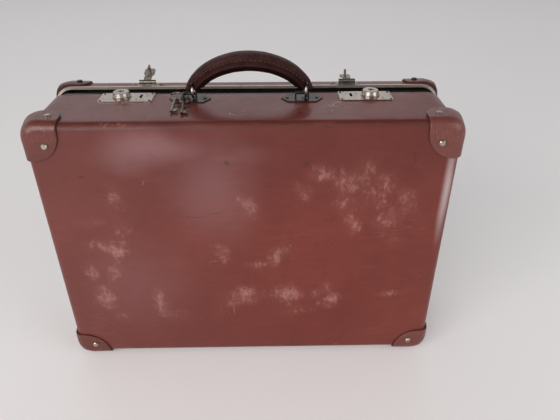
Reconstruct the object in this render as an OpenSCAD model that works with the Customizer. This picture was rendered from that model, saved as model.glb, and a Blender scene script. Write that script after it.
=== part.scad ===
// Old leather suitcase standing upright with its rear lid ajar, two hasp locks and a top handle.
// X runs along the width, Y from the front face to the rear, Z up from the table.

/* [Base shell] */
// outer width of the case
case_w = 400; // [360:5:440]
// outer height of the standing case
case_h = 284; // [240:4:320]
// depth of the front shell that carries the handle
base_d = 78; // [70:1:100]
// thickness of the board and leather wall
wall_t = 2; // [1.6:0.1:2.4]
// rounding between the big face and the sides
edge_r = 7; // [6:0.5:12]
// radius of the four outline corners
corner_r = 17; // [14:1:22]
// thickness of the cloth lining
lining_t = 0.8; // [0.5:0.1:1.2]

/* [Lid shell] */
// depth of the rear lid
lid_d = 24; // [24:1:45]
// how far the lid outline sits above the base outline
lid_rise = 1; // [1:0.1:2]
// gap between the two shell rims when closed
rim_gap = 0.3; // [0.2:0.1:0.6]
// thickness of the metal edge on the lid
lid_rim_t = 0.6; // [0.5:0.1:0.8]
// width of the metal edge on the outside of the lid
lid_rim_leg = 3.2; // [2.4:0.2:3.2]

/* [Corner caps] */
// thickness of the leather corner caps
cap_t = 2.5; // [1.5:0.1:3]
// reach of an upper cap along the width
cap_x = 33; // [31:1:44]
// reach of an upper cap along the height
cap_z = 36; // [34:1:44]
// reach of a lower cap along the width
foot_cap_x = 36; // [32:1:44]
// reach of a lower cap along the height
foot_cap_z = 28; // [28:1:40]
// reach of a base cap towards the rear
base_cap_y = 28; // [25:1:34]
// reach of a lid cap towards the front
lid_cap_y = 17; // [16:1:18]
// rounding of the inner corner of a cap
cap_round = 27; // [12:1:28]
// radius of a cap rivet head
cap_head_r = 3; // [2.4:0.1:3.4]
// height of a cap rivet head
cap_head_t = 1.9; // [1.4:0.1:2.4]
// distance of a cap rivet from the side of the case
cap_rivet_in = 20; // [18:1:24]
// distance of the top and bottom rivets from the side of the case
foot_rivet_in = 22.5; // [21:0.5:26]
// distance of the base rivets behind the front face
base_rivet_y = 13; // [12.5:0.5:16]
// distance of the lid rivets behind the lid's front plane
lid_rivet_y = 14; // [13:0.2:14]
// distance of the side rivets from the top and bottom edges
side_rivet_z = 23; // [21:1:24]
// distance of the upper face rivets below the top edge
top_rivet_z = 20; // [19:0.5:24]
// height of the lower face rivets above the bottom edge
foot_rivet_z = 14.5; // [13:0.5:18]

/* [Tongue] */
// how far the grey tongue reaches past the rear edge of the base
tongue_out = 10; // [6:0.5:12]
// how far the tongue strip is glued inside the base
tongue_in = 8; // [6:0.5:12]
// thickness of the tongue
tongue_t = 1; // [0.8:0.1:1.2]
// height below which the tongue is cut off for the hinges
tongue_low = 30; // [24:1:50]
// width of the notch that lets a staple pass
tongue_notch = 5; // [4:0.5:7]

/* [Hinges] */
// distance of each hinge from the middle
hinge_x = 110; // [80:5:130]
// length of a hinge along the width
hinge_w = 38; // [34:1:48]
// radius of a hinge knuckle
knuckle_r = 2.2; // [2:0.1:2.2]
// radius of the hinge and hasp pins
pin_r = 1; // [0.8:0.1:1.1]
// clearance round a turning pin
pin_play = 0.05; // [0.03:0.01:0.08]
// clearance between two knuckles
knuckle_gap = 0.2; // [0.15:0.05:0.3]
// thickness of a hinge leaf
leaf_t = 1; // [0.8:0.1:1]
// reach of a hinge leaf from the pin
leaf_reach = 15; // [14:1:16]

/* [Lock plates] */
// distance of the staple slot from the middle
slot_x = 104.4; // [96:0.4:110]
// distance of the slot and the lock knob from the rear edge of the base
lock_back = 10.3; // [9.5:0.1:11.5]
// length of a lock plate along the width
lock_plate_w = 52.5; // [51:0.5:56]
// depth of a lock plate
lock_plate_d = 24; // [23:0.1:25.9]
// thickness of the lock and handle plates
plate_t = 1; // [0.8:0.1:1]
// length of the staple slot
slot_len = 9.7; // [9.5:0.1:10.5]
// width of the staple slot
slot_w = 2.4; // [2.3:0.1:3]
// distance from the slot to the lock knob
knob_off = 19.2; // [18.5:0.1:20]
// radius of the knob's collar
knob_r = 9.35; // [8.6:0.05:9.6]
// radius of the knob's top
knob_top_r = 7.75; // [7:0.05:8.2]
// height of the knob above its plate
knob_h = 5.3; // [4.6:0.1:6]
// travel of the knob along its plate
knob_travel = 4.5; // [4:0.1:4.8]
// radius of the turning key plug
plug_r = 3; // [2.6:0.1:3.4]
// depth of the box under a lock plate
lock_case_h = 10; // [9.5:0.5:14]

/* [Hasps] */
// distance of the hasp pivot behind the lid's front plane
hasp_y = 6.4; // [6.2:0.1:6.8]
// height of the hasp pivot above the lid
hasp_up = 3.95; // [3.6:0.05:4.1]
// length of the hasp's foot along the width
hasp_foot_w = 34.3; // [30:0.1:36]
// depth of the hasp's foot
hasp_foot_d = 9; // [8:0.1:9]
// length of the three hasp knuckles together
hasp_knuckles = 17; // [15:0.2:18]
// length of the flap from its pivot
flap_len = 23.5; // [22.5:0.1:24.5]
// width of the flap's neck
flap_neck = 7.4; // [6:0.1:8]
// width of the flap's head
flap_head = 10.8; // [9:0.1:12]
// thickness of the flap
flap_t = 1.4; // [1.2:0.1:1.6]
// width of the staple's blade along its swing
staple_len = 6; // [5.6:0.1:6.2]
// thickness of the staple
staple_t = 1.8; // [1.5:0.1:1.9]
// how far the left flap stands above the folded position
left_flap_up = 15; // [5:1:30]
// how far the right flap hangs below the folded position
right_flap_down = 5; // [0:1:8]

/* [Handle] */
// distance of each handle ring from the handle's middle
handle_half = 55; // [50:1:60]
// sideways shift of the handle and rings on their bars
handle_shift = 3.5; // [0:0.1:3.5]
// distance of the handle from the rear edge of the base
handle_back = 17; // [17:0.5:18]
// height of the arch of the handle's middle line
arch_h = 27; // [20:1:30]
// half height of the handle in its middle
handle_hh = 9; // [7:0.5:10]
// half height of the handle at its ends
handle_end_hh = 7.5; // [7:0.1:8]
// half depth of the handle in its middle
handle_hw = 10; // [7:0.5:10]
// half depth of the handle at its ends
handle_end_hw = 5; // [4:0.2:5.4]
// thickness of the leather over the core
handle_skin = 3.2; // [2.6:0.2:3.6]
// radius of the middle line of a handle ring
ring_r = 6.1; // [6:0.1:6.5]
// wire radius of a handle ring
ring_wire = 1.4; // [1.1:0.1:1.4]
// clearance round the ring where it passes the handle
ring_play = 0.4; // [0.3:0.1:0.5]
// length of a handle plate along the width
handle_plate_w = 41; // [38:1:46]
// depth of a handle plate
handle_plate_d = 21; // [20:1:26]
// clear length of the bar that holds a ring
bar_len = 11; // [10.8:0.2:13]
// height of the bar above the plate
bar_up = 4.8; // [4.7:0.1:5.1]
// number of stitches along each side of the handle
stitches = 18; // [10:1:22]

/* [Keys] */
// radius of the middle line of a key's bow
bow_r = 6.1; // [5.6:0.1:6.3]
// wire radius of a key's bow
bow_wire = 0.9; // [0.7:0.1:0.9]
// length of a key from the middle of its bow
key_len = 31; // [30:1:40]
// radius of a key's barrel
barrel_r = 1.5; // [1.2:0.1:1.5]
// width of a key's bit
bit_w = 4; // [3:0.5:5]
// wire radius of the loop that ties the keys
loop_wire = 0.5; // [0.4:0.1:0.5]

/* [Hidden] */

// small clearance between pieces that lie against each other
fit_gap = 0.1;
// length by which a cutting body passes through what it cuts
cut = 1;
// number of sides of the small rivet holes and of the shell corners
hole_sides = 16;
corner_sides = 32;
// steps in the rounding of the shell edges
edge_steps = 5;

// feet, hinge line and lid lean
foot_h = cap_t + cap_head_t;
head_flat_r = cap_head_r - 0.8;
hinge_y = base_d + rim_gap / 2;
hinge_z = -knuckle_r;
lid_y0 = base_d + rim_gap;
lid_y1 = lid_y0 + lid_d;
lid_foot_dy = lid_y0 + lid_rivet_y + head_flat_r - hinge_y;
lid_foot_dz = hinge_z + foot_h - lid_rise;
lean = asin((foot_h + hinge_z) / sqrt(lid_foot_dy * lid_foot_dy + lid_foot_dz * lid_foot_dz))
    - atan2(lid_foot_dz, lid_foot_dy);

// rearmost point of the leaning lid, a face rivet near its top edge
rear_dy = lid_y1 + foot_h - hinge_y;
rear_dz = lid_rise + case_h - top_rivet_z + head_flat_r - hinge_z;
rear_y = hinge_y + rear_dy * cos(lean) + rear_dz * sin(lean);
y_mid = (rear_y - foot_h) / 2;

// lid rim and lining positions
rim_web = 0.8;
lid_wall_y = lid_y0 + rim_web;
lining_off = wall_t + fit_gap;
lining_in = lining_off + lining_t;
base_lining_end = base_d - tongue_in - cut / 2;
tongue_face = wall_t + 3 * fit_gap;
tongue_back = tongue_face + tongue_t;

// lock plate, knob and staple positions
plate_top = case_h + plate_t;
lock_y = base_d - lock_back;
lock_plate_x = slot_x - 12.4 + lock_plate_w / 2;
lock_plate_y = base_d - 0.3 - lock_plate_d / 2;
knob_x = slot_x + knob_off;
case_wall = 1;
lock_case_len = 43;
case_x0 = slot_x - 7.4;
case_x1 = case_x0 + lock_case_len;
case_dy = 8.6;
case_hole = 0.4;
stem_w = 5;
stem_play = 0.1;
carriage_w = 11;
carriage_top = case_h - 0.5;
carriage_h = 6;
bolt_z = case_h - 2;
bolt_w = 2.4;
bolt_h = 2;
bolt_tip = slot_x - 1.8;
bolt_guide_x = slot_x + 3.8;
spring_x0 = knob_x + carriage_w / 2 + fit_gap;
spring_x1 = case_x1 - case_wall - fit_gap;
spring_z = case_h - 4.5;
spring_r = 2.2;
spring_wire = 0.4;
spring_turns = 5;
collar_t = 1.2;
plug_floor = 2;
plug_play = 0.05;
keyhole_r = 0.9;
keyhole_shift = 0.5;
keyhole_slot_d = 2.6;
keyhole_depth = 2;
plate_lift = 0.2;
collar_edge = 0.3;
knob_flare = 0.9;
knob_edge = 0.4;
carriage_d = 8;
nail_in = 2.3;
nail_head_edge = 0.2;
nail_head_r = 1.1;
nail_head_t = 0.5;
nail_r = 0.6;
small_head_r = 1.7;
small_head_t = 0.8;
small_head_edge = 0.3;
small_shank_r = 0.8;
shank_r = 1;

// hasp positions measured on the closed lid
hasp_pivot_y = lid_y0 + hasp_y;
hasp_pivot_z = case_h + lid_rise + hasp_up;
hasp_foot_y = hasp_pivot_y + 1.5;
hasp_foot_t = 1;
flap_under = 2.75;
staple_mid = hasp_pivot_y - lock_y;
staple_low = 9.05;
window_y = 3;
window_z = 2.6;
hasp_rivet_in = 3.6;
flap_head_from = 12;
flap_shoulder_out = 3;
flap_shoulder_in = 1;
flap_nose = 2;
flap_hole_at = 6.2;
flap_hole_turn = 25;
flap_hole_w = 1.6;
flap_hole_d = 1.4;

// hinge leaf shapes and the places of their rivets as shares of a leaf
leaf_start = 0.6;
leaf_side_play = 0.2;
leaf_rivet_side = 0.36;
leaf_rivet_row = 0.5;
base_leaf_rivet_mid = 0.75;
lid_leaf_rivet_mid = 0.72;

// handle geometry
handle_y = base_d - handle_back;
handle_rivet_dx = handle_plate_w / 2 - 6;
ring_z = plate_top + 0.3 + ring_wire + ring_r;
bar_z = plate_top + bar_up;
bar_r = 1.4;
ear_t = 1.4;
ear_r = 1.8;
arch_z = ring_z + 1.8;
arch_steps = 26;
section_steps = 16;
section_power = 0.8;
core_angle = 30;
stitch_r = 0.4;
stitch_len = 3;
stitch_from = 22;

// key loop and key positions over the left handle plate
loop_x = -handle_half - 3;
loop_z = bar_z - 1;
loop_half = 3;
loop_front = 6.12;
loop_turn = 235.3;
key_one_side = 9.3;
key_one_front = 6.4;
key_one_up = 4.9;
key_two_side = 1.6;
key_two_front = 10.3;
key_two_up = 2.3;
key_bore_r = 0.8;
key_bore_depth = 8;
key_bit_len = 5;
key_bit_t = 1.2;
key_bit_in = 0.6;
key_one_at = [loop_x - key_one_side, handle_y - key_one_front, plate_top + key_one_up];
key_two_at = [loop_x - key_two_side, handle_y - key_two_front, plate_top + key_two_up];
key_one_dip = asin((key_one_at[2] - case_h - barrel_r - fit_gap) / key_len);
key_two_dip = asin((key_two_at[2] - case_h - barrel_r - fit_gap) / key_len);
key_one_yaw = -1;
key_two_yaw = 3.5;

// colours of the materials
leather_c = [0.46, 0.27, 0.25];
cap_c = [0.33, 0.19, 0.16];
handle_c = [0.22, 0.12, 0.09];
steel_c = [0.62, 0.61, 0.58];
dark_steel_c = [0.33, 0.32, 0.31];
cloth_c = [0.55, 0.50, 0.42];
brass_c = [0.62, 0.55, 0.40];
thread_c = [0.55, 0.22, 0.18];

// Frames and helpers that several pieces share.

// moves a piece of the front shell from the drawing frame onto the table
module on_table() {
    translate([0, -y_mid, foot_h]) children();
}

// moves a piece drawn on the closed lid to the leaning lid
module on_lid() {
    on_table()
        translate([0, hinge_y, hinge_z])
            rotate([-lean, 0, 0])
                translate([0, -hinge_y, -hinge_z])
                    children();
}

// repeats a right-hand piece at the chosen side, 1 is right and -1 is left
module at_side(side) {
    mirror([side < 0 ? 1 : 0, 0, 0]) children();
}

// corner block of a shell with its axis along Y and a rounded front edge
module corner_puck(radius, round_r, depth) {
    rotate([-90, 0, 0])
        rotate_extrude($fn = corner_sides)
            polygon(concat(
                [[0, depth], [0, 0]],
                [for (i = [0 : edge_steps]) [
                    radius - round_r + round_r * sin(90 * i / edge_steps),
                    round_r - round_r * cos(90 * i / edge_steps)
                ]],
                [[radius, depth]]
            ));
}

// solid rounded box with its outline drawn in by inset and its rounded face at y = inset
module body_block(inset, depth) {
    hull()
        for (sx = [-1, 1], z = [corner_r, case_h - corner_r])
            translate([sx * (case_w / 2 - corner_r), inset, z])
                corner_puck(corner_r - inset, edge_r - inset, depth - inset);
}

// flat outline of the case drawn in by inset
module outline(inset) {
    radius = corner_r - inset;
    translate([inset - case_w / 2, corner_r]) square([case_w - 2 * inset, case_h - 2 * corner_r]);
    translate([corner_r - case_w / 2, inset]) square([case_w - 2 * corner_r, case_h - 2 * inset]);
    for (sx = [-1, 1], z = [corner_r, case_h - corner_r])
        translate([sx * (case_w / 2 - corner_r), z]) circle(radius, $fn = 64);
}

// closed band that follows the case outline between two insets and two depths
module outline_band(outer, inner, y0, y1) {
    translate([0, y1, 0])
        rotate([90, 0, 0])
            linear_extrude(y1 - y0)
                difference() {
                    outline(outer);
                    outline(inner);
                }
}

// turns a drawing of a front shell into the mirrored lid shell
module lid_turn() {
    translate([0, lid_y1, lid_rise]) mirror([0, 1, 0]) children();
}

// rod along X centred at the origin
module rod_x(radius, length) {
    rotate([0, 90, 0]) cylinder(h = length, r = radius, center = true, $fn = 32);
}

// rivet with a chamfered flat head, pointing down from the surface at z = 0
module rivet(head_r, head_t, chamfer, shank, length) {
    rotate_extrude($fn = 24)
        polygon([
            [0, -length], [shank, -length], [shank, 0], [head_r, 0],
            [head_r, head_t - chamfer], [head_r - chamfer, head_t], [0, head_t]
        ]);
}

// places that a cap rivet takes on the face, the side and the top or bottom of one corner
// the drawing frame is a right-hand shell, top is 1 for an upper corner
module cap_rivet_places(top, rivet_y) {
    face_z = top ? case_h - top_rivet_z : foot_rivet_z;
    side_z = top ? case_h - side_rivet_z : side_rivet_z;
    translate([case_w / 2 - cap_rivet_in, 0, face_z]) rotate([90, 0, 0]) children();
    translate([case_w / 2, rivet_y, side_z]) rotate([0, 90, 0]) children();
    translate([case_w / 2 - foot_rivet_in, rivet_y, top ? case_h : 0])
        rotate([top ? 0 : 180, 0, 0]) children();
}

// rivet positions of all four corners of one shell
module all_cap_rivets(rivet_y) {
    for (sx = [-1, 1], top = [0, 1])
        at_side(sx) cap_rivet_places(top, rivet_y) children();
}

// hole for a cap rivet through cap and wall
module cap_rivet_hole() {
    translate([0, 0, -wall_t - cut])
        cylinder(h = wall_t + cap_t + 2 * cut, r = shank_r + fit_gap, $fn = hole_sides);
}

// cap rivet standing on the cap's outer face
module cap_rivet() {
    translate([0, 0, cap_t])
        rivet(cap_head_r, cap_head_t, cap_head_r - head_flat_r, shank_r, cap_t + wall_t);
}

// square region with one rounded inner corner, measured inward from an outer corner
module rounded_reach(reach_a, reach_b, round_r) {
    far = 60;
    translate([-far, -far]) square([far + reach_a - round_r, far + reach_b]);
    translate([-far, -far]) square([far + reach_a, far + reach_b - round_r]);
    translate([reach_a - round_r, reach_b - round_r]) circle(round_r, $fn = 48);
}

// one leather corner cap, drawn at the lower right corner of a front shell
module cap_corner(reach_y, top) {
    reach_x = top ? cap_x : foot_cap_x;
    reach_z = top ? cap_z : foot_cap_z;
    small_round = min(cap_round, reach_y / 2);
    far = 60;
    intersection() {
        difference() {
            hull() corner_group(-cap_t);
            hull() corner_group(-fit_gap / 2);
        }
        translate([case_w / 2, far, 0])
            rotate([90, 0, 0])
                linear_extrude(2 * far)
                    mirror([1, 0])
                        rounded_reach(reach_x, reach_z, cap_round);
        translate([case_w / 2, 0, -far])
            linear_extrude(2 * far)
                mirror([1, 0])
                    rounded_reach(reach_x, reach_y, small_round);
        translate([case_w / 2 + far, 0, 0])
            rotate([0, -90, 0])
                linear_extrude(2 * far + reach_x)
                    rounded_reach(reach_z, reach_y, small_round);
    }
}

// points of the body near one corner, grown outward by the negative inset
module corner_group(inset) {
    reach = 60;
    for (dx = [0, reach], dz = [0, reach])
        translate([case_w / 2 - corner_r - dx, inset, corner_r + dz])
            corner_puck(corner_r - inset, edge_r - inset, reach);
}

// a cap at the chosen corner with its three rivet holes
module cap(side, top, reach_y, rivet_y) {
    difference() {
        at_side(side)
            translate([0, 0, top ? case_h : 0])
                mirror([0, 0, top ? 1 : 0])
                    cap_corner(reach_y, top);
        at_side(side) cap_rivet_places(top, rivet_y) cap_rivet_hole();
    }
}

// Front shell and what is fixed to it.

// centres of the four nails of a right-hand lock plate
module lock_nail_places() {
    for (sx = [-1, 1], sy = [-1, 1])
        translate([
            lock_plate_x + sx * (lock_plate_w / 2 - nail_in),
            lock_plate_y + sy * (lock_plate_d / 2 - nail_in),
            plate_top
        ])
            children();
}

// centres of the two rivets of a handle plate
module handle_rivet_places(side) {
    for (sx = [-1, 1])
        translate([side * handle_half + sx * handle_rivet_dx, handle_y, plate_top]) children();
}

// centres of the three rivets of a right-hand base leaf, facing down
module base_leaf_places() {
    for (dx = [-1, 0, 1])
        translate([
            hinge_x + dx * hinge_w * leaf_rivet_side,
            hinge_y - leaf_reach * (dx == 0 ? base_leaf_rivet_mid : leaf_rivet_row),
            -leaf_t
        ])
            rotate([180, 0, 0]) children();
}

// room under a lock plate for its case, cut through wall and lining
module lock_case_room() {
    translate([case_x0 - case_hole, lock_y - case_dy - case_hole, case_h - lock_case_h - cut])
        cube([case_x1 - case_x0 + 2 * case_hole, 2 * (case_dy + case_hole), lock_case_h + 3 * cut]);
}

module base_shell() {
    color(leather_c) on_table()
        difference() {
            body_block(0, base_d);
            body_block(wall_t, base_d + cut);
            for (side = [-1, 1]) {
                at_side(side) lock_case_room();
                at_side(side) lock_nail_places() drill(nail_r, wall_t + plate_t);
                handle_rivet_places(side) drill(small_shank_r, wall_t + plate_t);
                at_side(side) base_leaf_places() drill(small_shank_r, wall_t + leaf_t);
            }
            all_cap_rivets(base_rivet_y) cap_rivet_hole();
        }
}

// small hole straight down from a piece's top face
module drill(radius, depth) {
    translate([0, 0, -depth - cut])
        cylinder(h = depth + 2 * cut, r = radius + fit_gap, $fn = hole_sides);
}

module base_rim() {
    color(dark_steel_c) on_table()
        difference() {
            union() {
                outline_band(wall_t + fit_gap, tongue_back, base_d - tongue_in, base_d);
                outline_band(tongue_face, tongue_back, base_d - cut, base_d + tongue_out);
            }
            translate([-case_w / 2, base_d, -cut])
                cube([case_w, tongue_out + cut, tongue_low + cut]);
            for (side = [-1, 1]) {
                at_side(side) lock_case_room();
                translate([side * slot_x - tongue_notch / 2, base_d + 0.5, case_h - 3 * tongue_back])
                    cube([tongue_notch, tongue_out + cut, 3 * tongue_back]);
            }
        }
}

module base_lining() {
    color(cloth_c) on_table()
        difference() {
            body_block(lining_off, base_lining_end);
            body_block(lining_in, base_d + cut);
            for (side = [-1, 1])
                at_side(side) lock_case_room();
        }
}

module base_cap_top_left() {
    color(cap_c) on_table() cap(-1, 1, base_cap_y, base_rivet_y);
}

module base_cap_top_right() {
    color(cap_c) on_table() cap(1, 1, base_cap_y, base_rivet_y);
}

module base_cap_bottom_left() {
    color(cap_c) on_table() cap(-1, 0, base_cap_y, base_rivet_y);
}

module base_cap_bottom_right() {
    color(cap_c) on_table() cap(1, 0, base_cap_y, base_rivet_y);
}

module base_cap_rivets() {
    color(dark_steel_c) on_table() all_cap_rivets(base_rivet_y) cap_rivet();
}

// flat plate with rounded corners, its top face at plate_top
module lock_plate_blank() {
    round_r = 1.5;
    translate([lock_plate_x, lock_plate_y, case_h])
        linear_extrude(plate_t) {
            square([lock_plate_w - 2 * round_r, lock_plate_d], center = true);
            square([lock_plate_w, lock_plate_d - 2 * round_r], center = true);
            for (sx = [-1, 1], sy = [-1, 1])
                translate([sx * (lock_plate_w / 2 - round_r), sy * (lock_plate_d / 2 - round_r)])
                    circle(round_r, $fn = 24);
        }
}

module lock_plate(side) {
    color(steel_c) on_table() at_side(side)
        difference() {
            lock_plate_blank();
            translate([slot_x - slot_w / 2, lock_y - slot_len / 2, case_h - cut])
                cube([slot_w, slot_len, plate_t + 2 * cut]);
            translate([
                knob_x - stem_w / 2 - stem_play, lock_y - stem_w / 2 - stem_play, case_h - cut
            ])
                cube([stem_w + knob_travel + 3 * stem_play, stem_w + 2 * stem_play, plate_t + 2 * cut]);
            lock_nail_places()
                translate([0, 0, -plate_t - cut])
                    cylinder(h = plate_t + 2 * cut, r = nail_r + pin_play, $fn = 24);
        }
}

module left_lock_plate() {
    lock_plate(-1);
}

module right_lock_plate() {
    lock_plate(1);
}

// open box under the lock plate with a guide wall for the bolt
module lock_case(side) {
    color(dark_steel_c) on_table() at_side(side)
        difference() {
            translate([case_x0, lock_y - case_dy, case_h - lock_case_h])
                cube([case_x1 - case_x0, 2 * case_dy, lock_case_h]);
            translate([case_x0 + case_wall, lock_y - case_dy + case_wall, case_h - lock_case_h + case_wall])
                cube([
                    bolt_guide_x - case_x0 - case_wall,
                    2 * (case_dy - case_wall),
                    lock_case_h
                ]);
            translate([
                bolt_guide_x + case_wall, lock_y - case_dy + case_wall,
                case_h - lock_case_h + case_wall
            ])
                cube([
                    case_x1 - bolt_guide_x - 2 * case_wall,
                    2 * (case_dy - case_wall),
                    lock_case_h
                ]);
            translate([
                bolt_guide_x - cut, lock_y - bolt_w / 2 - stem_play, bolt_z - bolt_h / 2 - stem_play
            ])
                cube([case_wall + 2 * cut, bolt_w + 2 * stem_play, bolt_h + 2 * stem_play]);
        }
}

module left_lock_case() {
    lock_case(-1);
}

module right_lock_case() {
    lock_case(1);
}

// coil spring between the carriage and the end of the lock case
module lock_spring(side) {
    color(steel_c) on_table() at_side(side)
        translate([spring_x0, lock_y, spring_z])
            rotate([0, 90, 0])
                linear_extrude(spring_x1 - spring_x0, twist = -360 * spring_turns, slices = 50)
                    translate([spring_r, 0]) circle(spring_wire, $fn = 6);
}

module left_lock_spring() {
    lock_spring(-1);
}

module right_lock_spring() {
    lock_spring(1);
}

module lock_nails() {
    color(steel_c) on_table()
        for (side = [-1, 1])
            at_side(side)
                lock_nail_places()
                    rivet(nail_head_r, nail_head_t, nail_head_edge, nail_r, plate_t + wall_t);
}

// six-sided plate with two ears that hold a bar
module handle_plate(side) {
    half_w = handle_plate_w / 2;
    half_d = handle_plate_d / 2;
    wing = 7;
    color(dark_steel_c) on_table() translate([side * handle_half, handle_y, case_h])
        difference() {
            union() {
                linear_extrude(plate_t)
                    polygon([
                        [-half_w, 0], [-half_w + wing, -half_d], [half_w - wing, -half_d],
                        [half_w, 0], [half_w - wing, half_d], [-half_w + wing, half_d]
                    ]);
                for (sx = [-1, 1])
                    translate([sx * (bar_len + ear_t) / 2, 0, 0]) {
                        translate([-ear_t / 2, -ear_r, 0]) cube([ear_t, 2 * ear_r, plate_t + bar_up]);
                        translate([0, 0, plate_t + bar_up]) rod_x(ear_r, ear_t);
                    }
                translate([0, 0, plate_t + bar_up]) rod_x(bar_r, bar_len + ear_t);
            }
            for (sx = [-1, 1])
                translate([sx * handle_rivet_dx, 0, -cut])
                    cylinder(h = plate_t + 2 * cut, r = small_shank_r + pin_play, $fn = 24);
        }
}

module left_handle_plate() {
    handle_plate(-1);
}

module right_handle_plate() {
    handle_plate(1);
}

module handle_plate_rivets() {
    color(dark_steel_c) on_table()
        for (side = [-1, 1])
            handle_rivet_places(side)
                rivet(small_head_r, small_head_t, small_head_edge, small_shank_r, plate_t + wall_t);
}

// Hinges along the bottom of the rear edge.

// one knuckle of a five-part hinge barrel, index 0 to 4 along the width
module hinge_knuckle(index) {
    part = hinge_w / 5;
    translate([hinge_x - hinge_w / 2 + part * (index + 0.5), hinge_y, hinge_z])
        rod_x(knuckle_r, part - knuckle_gap);
}

// bore for the pin through a hinge barrel
module hinge_bore() {
    translate([hinge_x, hinge_y, hinge_z]) rod_x(pin_r + pin_play, hinge_w + 2 * cut);
}

// rounds off the two free corners of a leaf that starts at y = 0 and reaches along +Y
module leaf_blank(width, reach, thick) {
    round_r = 6;
    linear_extrude(thick) {
        translate([-width / 2, 0]) square([width, reach - round_r]);
        translate([round_r - width / 2, 0]) square([width - 2 * round_r, reach]);
        for (sx = [-1, 1])
            translate([sx * (width / 2 - round_r), reach - round_r]) circle(round_r, $fn = 32);
    }
}

module hinge_base_leaf(side) {
    color(dark_steel_c) on_table() at_side(side)
        difference() {
            union() {
                translate([hinge_x, hinge_y - knuckle_r - knuckle_gap, -leaf_t])
                    mirror([0, 1, 0])
                        leaf_blank(hinge_w, leaf_reach - knuckle_r, leaf_t);
                for (i = [0, 2, 4]) {
                    hinge_knuckle(i);
                    translate([
                        hinge_x - hinge_w / 2 + hinge_w / 5 * i + knuckle_gap / 2,
                        hinge_y - knuckle_r - 2 * knuckle_gap, -leaf_t
                    ])
                        cube([hinge_w / 5 - knuckle_gap, knuckle_r + 2 * knuckle_gap, leaf_t]);
                }
            }
            hinge_bore();
            base_leaf_places()
                translate([0, 0, -leaf_t - cut])
                    cylinder(h = leaf_t + 2 * cut, r = small_shank_r + pin_play, $fn = 24);
        }
}

module left_hinge_base_leaf() {
    hinge_base_leaf(-1);
}

module right_hinge_base_leaf() {
    hinge_base_leaf(1);
}

module hinge_pin(side) {
    color(steel_c) on_table() at_side(side)
        translate([hinge_x, hinge_y, hinge_z]) rod_x(pin_r, hinge_w);
}

module left_hinge_pin() {
    hinge_pin(-1);
}

module right_hinge_pin() {
    hinge_pin(1);
}

module hinge_base_rivets() {
    color(dark_steel_c) on_table()
        for (side = [-1, 1])
            at_side(side)
                base_leaf_places()
                    rivet(small_head_r, small_head_t, small_head_edge, small_shank_r, leaf_t + wall_t);
}

// height of the lid leaf's underside, drawn on the closed lid
lid_leaf_z = lid_rise - leaf_t;
lid_leaf_y = lid_y0 + lid_rim_leg + 0.3;

// centres of the three rivets of a right-hand lid leaf, facing down
module lid_leaf_places() {
    for (dx = [-1, 0, 1])
        translate([
            hinge_x + dx * hinge_w * leaf_rivet_side,
            hinge_y + leaf_reach * (dx == 0 ? lid_leaf_rivet_mid : leaf_rivet_row),
            lid_leaf_z
        ])
            rotate([180, 0, 0]) children();
}

module hinge_lid_leaf(side) {
    color(dark_steel_c) on_lid() at_side(side)
        difference() {
            union() {
                translate([hinge_x, hinge_y + leaf_start, lid_leaf_z])
                    leaf_blank(hinge_w - 2 * leaf_side_play, leaf_reach - leaf_start, leaf_t);
                for (i = [1, 3]) {
                    hinge_knuckle(i);
                    translate([
                        hinge_x - hinge_w / 2 + hinge_w / 5 * i + knuckle_gap / 2,
                        hinge_y + leaf_start, hinge_z
                    ])
                        cube([hinge_w / 5 - knuckle_gap, knuckle_r - leaf_start, lid_rise - hinge_z]);
                }
            }
            hinge_bore();
            lid_leaf_places()
                translate([0, 0, -leaf_t - cut])
                    cylinder(h = leaf_t + 2 * cut, r = small_shank_r + pin_play, $fn = 24);
        }
}

module left_hinge_lid_leaf() {
    hinge_lid_leaf(-1);
}

module right_hinge_lid_leaf() {
    hinge_lid_leaf(1);
}

module hinge_lid_rivets() {
    color(dark_steel_c) on_lid()
        for (side = [-1, 1])
            at_side(side)
                lid_leaf_places()
                    rivet(small_head_r, small_head_t, small_head_edge, small_shank_r, leaf_t + wall_t);
}

// Rear lid and what is fixed to it.

// centres of the two rivets of a right-hand hasp foot
module hasp_rivet_places() {
    for (sx = [-1, 1])
        translate([
            slot_x + sx * (hasp_foot_w / 2 - hasp_rivet_in), hasp_foot_y,
            case_h + lid_rise + hasp_foot_t
        ])
            children();
}

module lid_shell() {
    color(leather_c) on_lid()
        difference() {
            lid_turn() body_block(0, lid_y1 - lid_wall_y);
            lid_turn() body_block(wall_t, lid_d + cut);
            lid_turn() all_cap_rivets(lid_d - lid_rivet_y) cap_rivet_hole();
            for (side = [-1, 1]) {
                at_side(side) lid_leaf_places() drill(small_shank_r, wall_t + leaf_t);
                at_side(side) hasp_rivet_places() drill(small_shank_r, wall_t + hasp_foot_t);
            }
        }
}

module lid_rim() {
    color(steel_c) on_lid()
        difference() {
            translate([0, 0, lid_rise])
                union() {
                    outline_band(-lid_rim_t - fit_gap, wall_t, lid_y0, lid_wall_y - 0.05);
                    outline_band(-lid_rim_t - fit_gap, -fit_gap, lid_y0, lid_y0 + lid_rim_leg);
                }
            for (side = [-1, 1])
                at_side(side)
                    translate([hinge_x - hinge_w / 2 - 0.3, lid_y0 - cut, hinge_z])
                        cube([hinge_w + 0.6, lid_rim_leg + 2 * cut, lid_rise - hinge_z + 0.1]);
        }
}

module lid_lining() {
    color(cloth_c) on_lid()
        lid_turn()
            difference() {
                body_block(lining_off, lid_d - tongue_out - 4);
                body_block(lining_in, lid_d + cut);
            }
}

module lid_cap_top_left() {
    color(cap_c) on_lid() lid_turn() cap(-1, 1, lid_cap_y, lid_d - lid_rivet_y);
}

module lid_cap_top_right() {
    color(cap_c) on_lid() lid_turn() cap(1, 1, lid_cap_y, lid_d - lid_rivet_y);
}

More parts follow.
